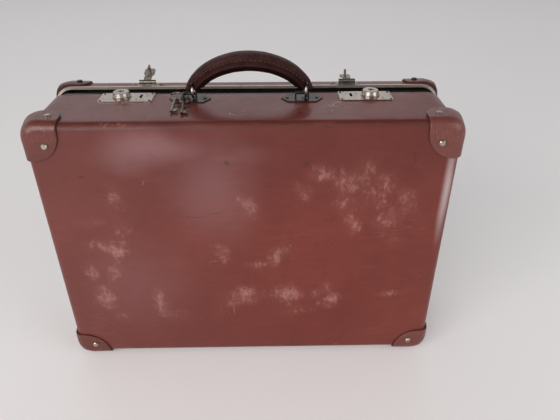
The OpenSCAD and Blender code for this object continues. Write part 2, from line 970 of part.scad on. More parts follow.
module lid_cap_bottom_left() {
    color(cap_c) on_lid() lid_turn() cap(-1, 0, lid_cap_y, lid_d - lid_rivet_y);
}

module lid_cap_bottom_right() {
    color(cap_c) on_lid() lid_turn() cap(1, 0, lid_cap_y, lid_d - lid_rivet_y);
}

module lid_cap_rivets() {
    color(dark_steel_c) on_lid() lid_turn() all_cap_rivets(lid_d - lid_rivet_y) cap_rivet();
}

// Hasps on the lid.

// foot plate with two outer knuckles that hold the hasp pin
module hasp_foot(side) {
    part = (hasp_knuckles - flap_neck) / 2 - knuckle_gap;
    foot_z = case_h + lid_rise;
    color(dark_steel_c) on_lid() at_side(side)
        difference() {
            union() {
                translate([slot_x, hasp_foot_y, foot_z])
                    linear_extrude(hasp_foot_t) {
                        square([hasp_foot_w - hasp_foot_d, hasp_foot_d], center = true);
                        for (sx = [-1, 1])
                            translate([sx * (hasp_foot_w - hasp_foot_d) / 2, 0])
                                circle(hasp_foot_d / 2, $fn = 32);
                    }
                for (sx = [-1, 1])
                    translate([slot_x + sx * (hasp_knuckles - part) / 2, hasp_pivot_y, 0]) {
                        translate([0, 0, hasp_pivot_z]) rod_x(knuckle_r, part);
                        translate([-part / 2, -knuckle_r, foot_z])
                            cube([part, 2 * knuckle_r, hasp_up]);
                    }
            }
            translate([slot_x, hasp_pivot_y, hasp_pivot_z]) rod_x(pin_r + pin_play, hasp_knuckles + 2 * cut);
            hasp_rivet_places()
                translate([0, 0, -hasp_foot_t - cut])
                    cylinder(h = hasp_foot_t + 2 * cut, r = small_shank_r + pin_play, $fn = 24);
        }
}

module left_hasp_foot() {
    hasp_foot(-1);
}

module right_hasp_foot() {
    hasp_foot(1);
}

module hasp_pin(side) {
    color(steel_c) on_lid() at_side(side)
        translate([slot_x, hasp_pivot_y, hasp_pivot_z]) rod_x(pin_r, hasp_knuckles);
}

module left_hasp_pin() {
    hasp_pin(-1);
}

module right_hasp_pin() {
    hasp_pin(1);
}

module hasp_rivets() {
    color(dark_steel_c) on_lid()
        for (side = [-1, 1])
            at_side(side)
                hasp_rivet_places()
                    rivet(small_head_r, small_head_t, small_head_edge, small_shank_r, hasp_foot_t + wall_t);
}

// flap with its knuckle and the staple under its head, drawn closed with the pivot at the origin
module flap_drawing() {
    neck_end = flap_shoulder_out - flap_head_from;
    head_end = -flap_head_from - flap_shoulder_in;
    difference() {
        union() {
            rod_x(knuckle_r, flap_neck);
            translate([0, 0, -flap_under])
                linear_extrude(flap_t)
                    polygon([
                        [-flap_neck / 2, 0], [-flap_neck / 2, neck_end],
                        [-flap_head / 2, head_end], [-flap_head / 2, flap_nose - flap_len],
                        [flap_nose - flap_head / 2, -flap_len], [flap_head / 2 - flap_nose, -flap_len],
                        [flap_head / 2, flap_nose - flap_len], [flap_head / 2, head_end],
                        [flap_neck / 2, neck_end], [flap_neck / 2, 0]
                    ]);
            translate([-staple_t / 2, -staple_mid - staple_len / 2, -staple_low])
                cube([staple_t, staple_len, staple_low - flap_under + flap_t / 2]);
        }
        rod_x(pin_r + pin_play, flap_neck + 2 * cut);
        translate([-staple_t, -staple_mid - window_y / 2, bolt_window_z])
            cube([2 * staple_t, window_y, window_z]);
        translate([0, -flap_hole_at, -flap_under - cut])
            rotate([0, 0, flap_hole_turn])
                linear_extrude(flap_t + 2 * cut) {
                    square([flap_hole_w, flap_hole_d], center = true);
                    for (sy = [-1, 1])
                        translate([0, sy * flap_hole_d / 2]) circle(flap_hole_w / 2, $fn = 20);
                }
    }
}

// lower edge of the bolt window, measured from the pivot of the closed hasp
bolt_window_z = bolt_z - window_z / 2 - hasp_pivot_z;

// flap on the lid, folded back by the given angle from closed
module hasp_flap(side, folded) {
    color(steel_c) on_lid()
        translate([side * slot_x, hasp_pivot_y, hasp_pivot_z])
            rotate([-folded, 0, 0])
                flap_drawing();
}

module left_hasp_flap() {
    hasp_flap(-1, 180 - left_flap_up);
}

module right_hasp_flap() {
    hasp_flap(1, 180 + right_flap_down);
}

// Sliding knobs and key plugs of the locks.

module lock_knob(side) {
    color(steel_c) on_table() at_side(side)
        difference() {
            union() {
                translate([knob_x, lock_y, plate_top + plate_lift])
                    rotate_extrude($fn = 48)
                        polygon([
                            [0, 0], [knob_r, 0],
                            [knob_r, collar_t - collar_edge], [knob_r - collar_edge, collar_t],
                            [knob_top_r + knob_flare, collar_t],
                            [knob_top_r, knob_h - plate_lift - knob_edge],
                            [knob_top_r - knob_edge, knob_h - plate_lift], [0, knob_h - plate_lift]
                        ]);
                translate([knob_x - stem_w / 2, lock_y - stem_w / 2, carriage_top - cut])
                    cube([stem_w, stem_w, plate_top + plate_lift + 2 * cut - carriage_top]);
                translate([knob_x - carriage_w / 2, lock_y - carriage_d / 2, carriage_top - carriage_h])
                    cube([carriage_w, carriage_d, carriage_h]);
                translate([bolt_tip, lock_y - bolt_w / 2, bolt_z - bolt_h / 2])
                    cube([knob_x - bolt_tip, bolt_w, bolt_h]);
            }
            translate([knob_x, lock_y, plate_top + plug_floor])
                cylinder(h = knob_h, r = plug_r + pin_play, $fn = 48);
        }
}

module left_lock_knob() {
    lock_knob(-1);
}

module right_lock_knob() {
    lock_knob(1);
}

// key plug with a keyhole in its face
module lock_plug(side) {
    plug_h = knob_h - plug_floor - plug_play;
    color(brass_c) on_table() at_side(side)
        translate([knob_x, lock_y, plate_top + plug_floor + plug_play])
            difference() {
                cylinder(h = plug_h, r = plug_r, $fn = 48);
                translate([0, keyhole_shift, plug_h - keyhole_depth])
                    cylinder(h = keyhole_depth + cut, r = keyhole_r, $fn = 24);
                translate([-keyhole_r / 2, keyhole_shift - keyhole_slot_d, plug_h - keyhole_depth])
                    cube([keyhole_r, keyhole_slot_d, keyhole_depth + cut]);
            }
}

module left_lock_plug() {
    lock_plug(-1);
}

module right_lock_plug() {
    lock_plug(1);
}

// Carrying handle.

function half_depth(t) = handle_end_hw + (handle_hw - handle_end_hw) * sin(t);
function half_height(t) = handle_end_hh + (handle_hh - handle_end_hh) * sin(t);
function arch_normal(t) = [cos(t) / handle_half, sin(t) / arch_h];
function signed_pow(v, p) = sign(v) * pow(abs(v), p);

// point j of the section at arch angle t, drawn in by inset
function section_point(t, j, inset) =
    let (
        n = arch_normal(t),
        u = 360 * j / section_steps,
        across = (half_depth(t) - inset) * signed_pow(cos(u), section_power),
        out = (half_height(t) - inset) * signed_pow(sin(u), section_power) / norm(n)
    )
    [handle_half * cos(t) + n[0] * out, across, arch_h * sin(t) + n[1] * out];

// arched bar between two angles of the arch, drawn in by inset
module arch_bar(t0, t1, inset) {
    m = section_steps;
    points = [
        for (i = [0 : arch_steps], j = [0 : m - 1])
            section_point(t0 + (t1 - t0) * i / arch_steps, j, inset)
    ];
    faces = concat(
        [for (i = [0 : arch_steps - 1], j = [0 : m - 1])
            [i * m + j, i * m + (j + 1) % m, (i + 1) * m + (j + 1) % m, (i + 1) * m + j]],
        [[for (j = [0 : m - 1]) m - 1 - j]],
        [[for (j = [0 : m - 1]) arch_steps * m + j]]
    );
    translate([handle_shift, handle_y, arch_z]) polyhedron(points, faces, convexity = 4);
}

// ring in the YZ plane with the given wire radius
module ring_at(side, wire) {
    translate([handle_shift + side * handle_half, handle_y, ring_z])
        rotate([0, 90, 0])
            rotate_extrude($fn = 40)
                translate([ring_r, 0]) circle(wire, $fn = 20);
}

module handle_leather() {
    color(handle_c) on_table()
        difference() {
            arch_bar(0, 180, 0);
            arch_bar(core_angle, 180 - core_angle, handle_skin);
            ring_at(-1, ring_wire + ring_play);
            ring_at(1, ring_wire + ring_play);
        }
}

module handle_core() {
    color(cloth_c) on_table() arch_bar(core_angle + 1, 179 - core_angle, handle_skin + fit_gap);
}

// short stitches lying along both sides of the handle
module handle_stitching() {
    color(thread_c) on_table()
        translate([handle_shift, handle_y, arch_z])
            for (i = [0 : stitches - 1], side = [-1, 1]) {
                t = stitch_from + (180 - 2 * stitch_from) * i / (stitches - 1);
                n = arch_normal(t);
                slope = (handle_hw - handle_end_hw) * cos(t) * stitch_len / 2 / handle_half;
                translate([
                    handle_half * cos(t),
                    side * (half_depth(t) + stitch_r + fit_gap + abs(slope)),
                    arch_h * sin(t)
                ])
                    rotate([0, atan2(n[0], n[1]), 0])
                        rod_x(stitch_r, stitch_len);
            }
}

module left_ring() {
    color(steel_c) on_table() ring_at(-1, ring_wire);
}

module right_ring() {
    color(steel_c) on_table() ring_at(1, ring_wire);
}

// Keys and the wire that ties them.

// long wire loop that passes round the left bar and through both key bows
module key_loop() {
    color(steel_c) on_table()
        translate([loop_x, handle_y, loop_z])
            rotate([90, 0, loop_turn]) {
                for (sz = [-1, 1])
                    translate([0.1, sz * loop_half, 0])
                        rotate([0, 90, 0])
                            cylinder(h = loop_front - 0.1, r = loop_wire, $fn = 16);
                translate([loop_front, 0, 0])
                    rotate([0, 0, -90])
                        rotate_extrude(angle = 180, $fn = 32)
                            translate([loop_half, 0]) circle(loop_wire, $fn = 16);
                translate([0.1, 0, 0])
                    rotate([0, 0, 90])
                        rotate_extrude(angle = 180, $fn = 32)
                            translate([loop_half, 0]) circle(loop_wire, $fn = 16);
            }
}

// key drawn along -Y with the middle of its bow at the origin
module key_drawing() {
    difference() {
        union() {
            rotate_extrude($fn = 40)
                translate([bow_r, 0]) circle(bow_wire, $fn = 16);
            translate([0, -bow_r, 0])
                rotate([90, 0, 0])
                    cylinder(h = key_len - bow_r, r = barrel_r, $fn = 24);
            translate([0, -bow_r - 1.2, 0])
                rotate([90, 0, 0])
                    cylinder(h = 1.6, r = barrel_r + 0.4, $fn = 24);
            translate([0, key_bit_in - key_len, -key_bit_t / 2])
                cube([barrel_r + bit_w, key_bit_len, key_bit_t]);
        }
        translate([0, -key_len - cut, 0])
            rotate([-90, 0, 0])
                cylinder(h = key_bore_depth + cut, r = key_bore_r, $fn = 24);
        translate([barrel_r + bit_w - 1.6, -key_len + 2.4, -cut]) cube([2, 1, 2 * cut]);
    }
}

module key_one() {
    color(steel_c) on_table()
        translate(key_one_at)
            rotate([key_one_dip, 0, key_one_yaw])
                key_drawing();
}

module key_two() {
    color(brass_c) on_table()
        translate(key_two_at)
            rotate([key_two_dip, 0, key_two_yaw])
                key_drawing();
}

base_shell();
base_rim();
base_lining();
base_cap_top_left();
base_cap_top_right();
base_cap_bottom_left();
base_cap_bottom_right();
base_cap_rivets();
left_lock_plate();
right_lock_plate();
left_lock_case();
right_lock_case();
left_lock_spring();
right_lock_spring();
lock_nails();
left_handle_plate();
right_handle_plate();
handle_plate_rivets();
left_hinge_base_leaf();
right_hinge_base_leaf();
left_hinge_pin();
right_hinge_pin();
hinge_base_rivets();
lid_shell();
lid_rim();
lid_lining();
lid_cap_top_left();
lid_cap_top_right();
lid_cap_bottom_left();
lid_cap_bottom_right();
lid_cap_rivets();
left_hinge_lid_leaf();
right_hinge_lid_leaf();
hinge_lid_rivets();
left_hasp_foot();
right_hasp_foot();
left_hasp_pin();
right_hasp_pin();
hasp_rivets();
left_hasp_flap();
right_hasp_flap();
left_lock_knob();
right_lock_knob();
left_lock_plug();
right_lock_plug();
handle_leather();
handle_core();
handle_stitching();
left_ring();
right_ring();
key_loop();
key_one();
key_two();
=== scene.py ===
"""Looks of the old leather suitcase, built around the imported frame.

Shapes are in millimetres in the case's own frame. Materials, lamps and camera are in metres.
"""

import math

import bmesh
import bpy
from mathutils import Matrix, Vector, noise


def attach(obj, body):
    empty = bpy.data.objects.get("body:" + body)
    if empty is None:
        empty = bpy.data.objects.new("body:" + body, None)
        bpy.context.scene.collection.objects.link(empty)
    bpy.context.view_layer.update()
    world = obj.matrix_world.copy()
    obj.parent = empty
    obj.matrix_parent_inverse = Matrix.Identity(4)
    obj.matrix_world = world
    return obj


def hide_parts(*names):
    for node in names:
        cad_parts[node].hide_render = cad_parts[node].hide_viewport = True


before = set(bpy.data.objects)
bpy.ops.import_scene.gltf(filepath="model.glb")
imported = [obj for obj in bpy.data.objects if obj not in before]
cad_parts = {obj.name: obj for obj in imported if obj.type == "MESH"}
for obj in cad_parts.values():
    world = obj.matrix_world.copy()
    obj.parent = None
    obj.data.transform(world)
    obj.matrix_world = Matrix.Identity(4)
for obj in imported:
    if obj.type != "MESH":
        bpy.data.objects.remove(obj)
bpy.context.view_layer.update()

MM = 0.001

# Sizes shared with the part's source
CASE_W = 400.0
CASE_H = 284.0
BASE_D = 78.0
WALL = 2.0
EDGE_R = 7.0
CORNER_R = 17.0
RIM_GAP = 0.3
LID_D = 24.0
LID_RISE = 1.0
LID_WEB = 0.8
LEAN = 3.5144408
HINGE_Y = 78.15
HINGE_Z = -2.2
Y_MID = 59.38028
FOOT = 4.4
CAP_T = 2.5
CAP_X = 33.0
CAP_Z = 36.0
FOOT_CAP_X = 36.0
FOOT_CAP_Z = 28.0
BASE_CAP_Y = 28.0
LID_CAP_Y = 17.0
CAP_ROUND = 27.0
CAP_PUFF = 3.8
LINING_IN = 0.1
LINING_T = 0.8
HANDLE_HALF = 55.0
HANDLE_SHIFT = 3.5
HANDLE_Y = 61.0
ARCH_Z = 294.6
ARCH_H = 27.0
LOCK_X0 = 97.0
LOCK_X1 = 140.0
LOCK_Y = 67.7
LOCK_HALF = 8.6
LOCK_CLEAR = 0.4
LOCK_DEPTH = 11.0
LINING_EDGE = 0.3
BASE_LINING_D = 69.4
LID_LINING_D = 9.9

# From the case's frame to the row frame, and from a lid drawn like a base to its place on the hinges
TO_TABLE = Matrix.Scale(MM, 4) @ Matrix.Translation((0, -Y_MID, FOOT))
TO_LID = (
    TO_TABLE
    @ Matrix.Translation((0, HINGE_Y, HINGE_Z))
    @ Matrix.Rotation(math.radians(-LEAN), 4, "X")
    @ Matrix.Translation((0, -HINGE_Y, -HINGE_Z))
)
LID_BACK = BASE_D + RIM_GAP + LID_D
LID_TURN = TO_LID @ Matrix.Translation((0, LID_BACK, LID_RISE)) @ Matrix.Scale(-1, 4, (0, 1, 0))


# Node material helpers


class Shader:
    """A node material with a principled surface and short calls for the usual procedural nodes."""

    def __init__(self, name):
        self.mat = bpy.data.materials.new(name)
        self.mat.use_nodes = True
        self.tree = self.mat.node_tree
        self.bsdf = self.tree.nodes["Principled BSDF"]
        self.pos = self.node("TexCoord").outputs["Object"]

    def link(self, a, b):
        self.tree.links.new(a, b)

    def node(self, kind, vec=None, **inputs):
        """New node with its vector linked and inputs set. An underscore in a name stands for a space."""
        n = self.tree.nodes.new("ShaderNode" + kind)
        if vec:
            self.link(vec, n.inputs["Vector"])
        for key, value in inputs.items():
            n.inputs[key.replace("_", " ")].default_value = value
        return n

    def feed(self, socket, value):
        """Links a socket or sets a plain value."""
        if isinstance(value, bpy.types.NodeSocket):
            self.link(value, socket)
        else:
            socket.default_value = value

    def stretch(self, scale, vec=None, rot=(0, 0, 0), loc=(0, 0, 0)):
        n = self.node("Mapping", vec or self.pos, Scale=scale, Rotation=rot, Location=loc)
        return n.outputs["Vector"]

    def noise(self, scale, detail=4.0, rough=0.55, vec=None, distortion=0.0):
        n = self.node("TexNoise", vec or self.pos, Scale=scale, Detail=detail, Roughness=rough)
        n.inputs["Distortion"].default_value = distortion
        return n.outputs["Fac"]

    def cells(self, scale, feature="F1", vec=None):
        n = self.node("TexVoronoi", vec or self.pos, Scale=scale)
        n.feature = feature
        return n.outputs["Distance"]

    def waves(self, scale, direction, distortion):
        n = self.node("TexWave", self.pos, Scale=scale, Distortion=distortion)
        n.bands_direction = direction
        return n.outputs["Fac"]

    def ramp(self, fac, low, high, a=0.0, b=1.0):
        """Smooth step from a to b while the input goes from low to high."""
        n = self.node("MapRange", From_Min=low, From_Max=high, To_Min=a, To_Max=b)
        n.interpolation_type = "SMOOTHSTEP"
        self.link(fac, n.inputs["Value"])
        return n.outputs["Result"]

    def math(self, op, a, b=0.0, clamp=False):
        n = self.node("Math")
        n.operation = op
        n.use_clamp = clamp
        self.feed(n.inputs[0], a)
        self.feed(n.inputs[1], b)
        return n.outputs[0]

    def times(self, a, b):
        return self.math("MULTIPLY", a, b)

    def mix(self, fac, a, b):
        n = self.node("Mix")
        n.data_type = "RGBA"
        self.feed(n.inputs["Factor"], fac)
        for key, value in (("A", a), ("B", b)):
            socket = next(i for i in n.inputs if i.name == key and i.type == "RGBA")
            self.feed(socket, value)
        return next(o for o in n.outputs if o.type == "RGBA")

    def tint(self, base, mask, amount, colour):
        """Base moved towards a colour by an amount where the mask is 1."""
        return self.mix(self.times(mask, amount), base, colour)

    def bump(self, height, strength, distance, below=None):
        n = self.node("Bump", Strength=strength, Distance=distance)
        self.link(height, n.inputs["Height"])
        if below:
            self.link(below, n.inputs["Normal"])
        return n.outputs["Normal"]

    def length(self, vec):
        n = self.node("VectorMath")
        n.operation = "LENGTH"
        self.link(vec, n.inputs[0])
        return n.outputs["Value"]

    def warped(self, scale, amount, vec=None):
        """Position shaken by a noise, so that round masks get ragged outlines."""
        n = self.node("TexNoise", vec or self.pos, Scale=scale, Detail=4.0)
        scaled = self.node("VectorMath")
        scaled.operation = "MULTIPLY_ADD"
        self.link(n.outputs["Color"], scaled.inputs[0])
        scaled.inputs[1].default_value = (amount,) * 3
        scaled.inputs[2].default_value = (-amount / 2,) * 3
        total = self.node("VectorMath")
        self.link(vec or self.pos, total.inputs[0])
        self.link(scaled.outputs["Vector"], total.inputs[1])
        return total.outputs["Vector"]

    def largest(self, masks):
        top = masks[0]
        for mask in masks[1:]:
            top = self.math("MAXIMUM", top, mask)
        return top

    def spots(self, rows, vec, spread=1.0):
        """Largest of several soft spots in the XZ plane, each up to its own strength."""
        masks = []
        for _, x, z, rx, rz, tilt, strength in rows:
            n = self.node("Mapping", vec)
            n.vector_type = "TEXTURE"
            n.inputs["Location"].default_value = (x, 0.0, z)
            n.inputs["Rotation"].default_value = (0.0, math.radians(tilt), 0.0)
            n.inputs["Scale"].default_value = (rx * spread, NO_DEPTH, rz * spread)
            masks.append(self.ramp(self.length(n.outputs["Vector"]), 1.0, 0.0, 0.0, strength))
        return self.largest(masks)

    def curls(self, rows, vec):
        """Thin broken arcs in the XY plane, like scratches from keys."""
        masks = []
        for _, x, y, rx, ry in rows:
            moved = self.stretch((1 / rx, 1 / ry, 0.0), vec, loc=(-x / rx, -y / ry, 0.0))
            off = self.math("ABSOLUTE", self.math("SUBTRACT", self.length(moved), 1.0))
            masks.append(self.ramp(off, 0.10, 0.02))
        return self.times(self.largest(masks), self.ramp(self.noise(110.0, 2.0), 0.46, 0.58))

    def axis(self, name, vec=None):
        n = self.node("SeparateXYZ")
        self.link(vec or self.pos, n.inputs[0])
        return n.outputs[name]

    def facing(self, name):
        """One component of the surface's direction."""
        return self.axis(name, self.node("NewGeometry").outputs["Normal"])

    def surface(self, **values):
        """Sets the principled inputs and returns the material."""
        for key, value in values.items():
            self.feed(self.bsdf.inputs[key.replace("_", " ")], value)
        return self.mat


def rgb(r, g, b):
    """Linear colour from display values 0 to 255."""

    def linear(v):
        v = v / 255
        return v / 12.92 if v <= 0.04045 else ((v + 0.055) / 1.055) ** 2.4

    return (linear(r), linear(g), linear(b), 1.0)


# A spot mask stretched this much along Y is the same at any depth
NO_DEPTH = 1000.0
# Worn spots on the front face: x, z, half width and half height in metres, tilt in degrees and strength
SCUFFS = [
    ("left_top", -0.127, 0.209, 0.013, 0.025, -18, 0.62),
    ("left_brush", -0.127, 0.172, 0.018, 0.023, 0, 0.48),
    ("left_side", -0.155, 0.181, 0.025, 0.011, 5, 0.46),
    ("left_bar", -0.146, 0.152, 0.029, 0.013, 8, 0.66),
    ("left_core", -0.135, 0.150, 0.017, 0.017, 0, 0.92),
    ("left_hook", -0.143, 0.118, 0.012, 0.022, 35, 0.88),
    ("left_eye", -0.164, 0.118, 0.011, 0.019, -10, 0.72),
    ("left_low", -0.156, 0.082, 0.017, 0.028, -25, 1.00),
    ("left_tail", -0.143, 0.056, 0.015, 0.020, 0, 0.46),
    ("left_haze", -0.145, 0.118, 0.036, 0.070, -6, 0.34),
    ("foot_left", -0.096, 0.072, 0.014, 0.036, -16, 0.88),
    ("foot_spray", -0.079, 0.058, 0.019, 0.014, 0, 0.48),
    ("high_line", -0.001, 0.198, 0.010, 0.021, -22, 0.86),
    ("streak", -0.028, 0.142, 0.011, 0.020, -30, 0.82),
    ("middle_arm", 0.029, 0.136, 0.013, 0.027, 28, 0.92),
    ("middle_bar", 0.010, 0.125, 0.021, 0.010, 0, 0.68),
    ("middle_foot", -0.004, 0.085, 0.026, 0.020, 0, 0.96),
    ("middle_wing", -0.017, 0.074, 0.020, 0.015, -20, 0.54),
    ("foot", 0.042, 0.084, 0.030, 0.022, 12, 0.94),
    ("foot_tail", 0.052, 0.063, 0.032, 0.012, -8, 0.54),
    ("foot_spur", 0.077, 0.090, 0.024, 0.011, -38, 0.64),
    ("foot_right", 0.088, 0.076, 0.020, 0.018, -15, 0.84),
    ("foot_haze", 0.045, 0.078, 0.075, 0.030, 0, 0.32),
    ("right_line", 0.152, 0.086, 0.032, 0.009, -5, 0.52),
    ("right_high", 0.074, 0.231, 0.028, 0.015, 18, 0.66),
    ("right_core", 0.100, 0.223, 0.034, 0.024, 0, 0.80),
    ("right_top", 0.113, 0.238, 0.024, 0.022, 20, 0.50),
    ("right_knot", 0.132, 0.225, 0.022, 0.018, 0, 0.66),
    ("right_bar", 0.126, 0.214, 0.042, 0.007, 3, 0.66),
    ("right_inner", 0.055, 0.213, 0.012, 0.022, -28, 0.60),
    ("right_middle", 0.096, 0.202, 0.022, 0.025, 0, 0.70),
    ("right_drop", 0.104, 0.177, 0.013, 0.021, -8, 0.78),
    ("right_side", 0.154, 0.203, 0.014, 0.022, -8, 0.82),
    ("right_lower", 0.142, 0.183, 0.034, 0.018, -22, 0.76),
    ("right_haze", 0.118, 0.206, 0.068, 0.044, 10, 0.40),
    ("right_tail", 0.150, 0.157, 0.016, 0.013, 40, 0.42),
]
# Small dark marks on the front face
MARKS = [
    ("left", -0.154, 0.232, 0.006, 0.0022, 0, 1.0),
    ("middle", -0.017, 0.245, 0.0035, 0.0045, -35, 1.0),
    ("right", 0.158, 0.249, 0.0016, 0.007, 0, 1.0),
    ("upper_right", 0.057, 0.243, 0.004, 0.005, 0, 0.9),
    ("long_line", -0.052, 0.186, 0.026, 0.0011, 2, 0.75),
    ("short_line", -0.030, 0.190, 0.012, 0.0012, -6, 0.8),
    ("edge_line", 0.176, 0.142, 0.006, 0.0010, 0, 0.8),
]
# Spots painted paler as painted sheen, in place of soft reflections on the face, and made a little glossier
SHEEN_AND_POLISH_SPOTS = [
    ("broad", -0.030, 0.215, 0.060, 0.085, 0, 0.62),
    ("top_left", -0.086, 0.258, 0.074, 0.030, 0, 1.0),
    ("top_middle", -0.020, 0.250, 0.060, 0.018, 0, 0.5),
    ("lower_left", -0.120, 0.100, 0.080, 0.080, 0, 0.3),
]
# Painted highlight along the rounded right edge of the front face
PAINTED_EDGE_HIGHLIGHT = [("right_edge", 0.1925, 0.214, 0.0065, 0.078, 0, 1.0)]
# Fine upright scratches near the foot
FOOT_LINES = [
    ("left", -0.062, 0.060, 0.030, 0.024, 0, 0.7),
    ("middle", -0.006, 0.066, 0.050, 0.030, 0, 1.0),
]
# Curled scratches on the top: x, y, half width and half depth in metres
CURLS = [
    ("left", -0.006, 0.024, 0.008, 0.005),
    ("right", 0.094, 0.044, 0.010, 0.007),
    ("right_small", 0.078, 0.034, 0.005, 0.009),
]
SCUFF_SPREAD = 1.2
# The rounded fold between top and front, and the pale dab rubbed on it
FOLD_Y = 0.0020
FOLD_Z = 0.2820
FOLD_DAB = [("fold_dab", -0.117, FOLD_Z, 0.020, 0.004, 0, 1.0)]


def leather_body_material():
    """Old red-brown leather with scuffs, scratches and marks placed on the front face, painted sheen spots, a
    painted highlight on the right edge, and painted shade on the top, the upper front and along the fold.
    """
    s = Shader("body_leather")
    s.pos = s.stretch((1.0, 1.0, 1.0), loc=(0.0, Y_MID * MM, -FOOT * MM))
    broad = s.noise(6.0, 5.0, 0.6)
    patchy = s.noise(34.0, 6.0, 0.65, distortion=0.4)
    fine = s.noise(430.0, 4.0, 0.6)
    weave = s.noise(70.0, 5.0, 0.7, s.stretch((0.5, 1.0, 3.0)))
    base = s.mix(s.ramp(broad, 0.35, 0.68), rgb(110, 38, 28), rgb(123, 49, 37))
    base = s.mix(s.ramp(patchy, 0.42, 0.75, 0.0, 0.5), base, rgb(100, 32, 24))
    base = s.mix(s.ramp(weave, 0.45, 0.75, 0.0, 0.22), base, rgb(142, 70, 58))
    base = s.tint(base, fine, 0.14, rgb(150, 80, 66))
    # Painted sheen: the left part of the leather is painted paler and greyer, in place of the brighter
    # surroundings it reflects.
    left = s.ramp(s.axis("X"), 0.08, -0.14)
    base = s.tint(base, left, 0.16, rgb(108, 80, 78))
    # Painted shade: the upper part of the front face is painted darker, in place of the weaker reflected
    # light it gets.
    high = s.times(s.ramp(s.axis("Z"), 0.15, 0.27), s.ramp(s.facing("Y"), -0.1, -0.5))
    base = s.tint(base, high, 0.34, rgb(74, 22, 17))
    # Painted shade: upward-facing leather is painted darker so the top reads less lit; the same mask also
    # sets the top's gloss and coat.
    up = s.ramp(s.facing("Z"), 0.6, 0.95)
    base = s.tint(base, up, 0.24, rgb(70, 20, 13))

    front = s.ramp(s.facing("Y"), -0.45, -0.85)
    warp = s.warped(38.0, 0.020)
    warp = s.warped(150.0, 0.007, warp)
    spots = s.times(s.spots(SCUFFS, warp, SCUFF_SPREAD), front)
    blotches = s.noise(62.0, 9.0, 0.72, s.warped(30.0, 0.012), distortion=0.4)
    fibres = s.noise(300.0, 4.0, 0.7, s.stretch((1.0, 1.0, 0.45)))
    specks = s.noise(900.0, 3.0, 0.7)
    worn = s.times(s.math("SUBTRACT", blotches, 0.5), 2.6)
    worn = s.math("ADD", worn, s.times(s.math("SUBTRACT", fibres, 0.5), 1.7))
    worn = s.math("ADD", worn, s.times(s.math("SUBTRACT", specks, 0.5), 0.8))
    worn = s.math("ADD", worn, s.times(spots, 0.80))
    worn = s.times(s.ramp(worn, 0.30, 1.36), s.ramp(spots, 0.02, 0.44))
    haze = s.times(s.ramp(spots, 0.05, 0.8), 0.10)
    scuff = s.math("ADD", worn, haze, clamp=True)
    base = s.tint(base, scuff, 0.55, rgb(200, 146, 136))

    # Painted sheen: the spots are painted paler and greyer; the same mask lowers the roughness slightly.
    painted_sheen_and_polish = s.times(s.spots(SHEEN_AND_POLISH_SPOTS, s.warped(16.0, 0.035)), s.ramp(s.facing("Y"), -0.3, -0.6))
    base = s.tint(base, painted_sheen_and_polish, 0.36, rgb(176, 138, 140))
    # Painted highlight on the right edge of the front, in place of the light it reflects there.
    painted_highlight = s.times(s.spots(PAINTED_EDGE_HIGHLIGHT, s.warped(20.0, 0.003)), front)
    base = s.tint(base, painted_highlight, 0.68, rgb(206, 188, 186))

    line_pos = s.stretch((2.5, 2.5, 34.0), s.warped(9.0, 0.02), rot=(0.0, 0.35, 0.0))
    lines = s.cells(8.0, "DISTANCE_TO_EDGE", line_pos)
    scratch = s.times(s.ramp(lines, 0.014, 0.0), s.ramp(s.noise(16.0, 2.0), 0.56, 0.66))
    base = s.tint(base, scratch, 0.30, rgb(190, 136, 124))
    nicks = s.times(s.ramp(s.cells(60.0), 0.075, 0.0), s.ramp(s.noise(13.0, 2.0), 0.52, 0.60))
    base = s.tint(base, nicks, 0.5, rgb(60, 28, 26))
    marks = s.times(s.spots(MARKS, s.warped(300.0, 0.002)), front)
    base = s.tint(base, marks, 0.62, rgb(52, 30, 34))
    strands = s.ramp(s.noise(560.0, 2.0, 0.6, s.stretch((1.0, 1.0, 0.06))), 0.60, 0.70)
    strands = s.times(s.times(strands, s.spots(FOOT_LINES, s.pos)), front)
    base = s.tint(base, strands, 0.34, rgb(196, 136, 122))
    curls = s.times(s.curls(CURLS, s.warped(220.0, 0.004)), s.ramp(s.facing("Z"), 0.6, 0.9))
    base = s.tint(base, curls, 0.55, rgb(206, 170, 160))

    fold_pos = s.stretch((0.0, 1.0, 1.0), loc=(0.0, -FOLD_Y, -FOLD_Z))
    near_fold = s.ramp(s.length(fold_pos), 0.0032, 0.0012)
    rubbed = s.ramp(s.noise(42.0, 6.0, 0.7, s.stretch((1.0, 3.0, 3.0))), 0.44, 0.68, 0.25, 1.0)
    # Painted shade along the fold between top and front, damping the highlight its rounding catches.
    base = s.tint(base, s.ramp(s.length(fold_pos), 0.0065, 0.002), 0.42, rgb(64, 20, 15))
    base = s.tint(base, s.times(near_fold, rubbed), 0.14, rgb(186, 116, 96))
    dab = s.spots(FOLD_DAB, s.warped(160.0, 0.006))
    dab = s.times(dab, s.times(near_fold, s.ramp(fibres, 0.48, 0.60)))
    base = s.tint(base, dab, 0.75, rgb(206, 138, 122))

    pores = s.cells(1500.0)
    grain = s.math("ADD", s.times(pores, 0.5), s.times(fine, 0.5))
    normal = s.bump(grain, 0.10, 0.0004)
    normal = s.bump(s.noise(20.0, 3.0), 0.14, 0.004, normal)
    normal = s.bump(weave, 0.10, 0.0008, normal)
    rough = s.math("ADD", s.ramp(patchy, 0.3, 0.75, 0.32, 0.42), s.times(scuff, 0.30))
    rough = s.math("SUBTRACT", rough, s.times(painted_sheen_and_polish, 0.05))
    rough = s.math("SUBTRACT", rough, s.times(up, 0.05))
    rough = s.math("ADD", rough, s.times(s.ramp(s.length(fold_pos), 0.009, 0.003), 0.18))
    return s.surface(
        Base_Color=base, Roughness=rough, Normal=normal, Coat_Weight=s.ramp(up, 0.0, 1.0, 0.12, 0.05),
        Coat_Roughness=0.2, Specular_IOR_Level=s.ramp(up, 0.0, 1.0, 0.46, 0.36)
    )


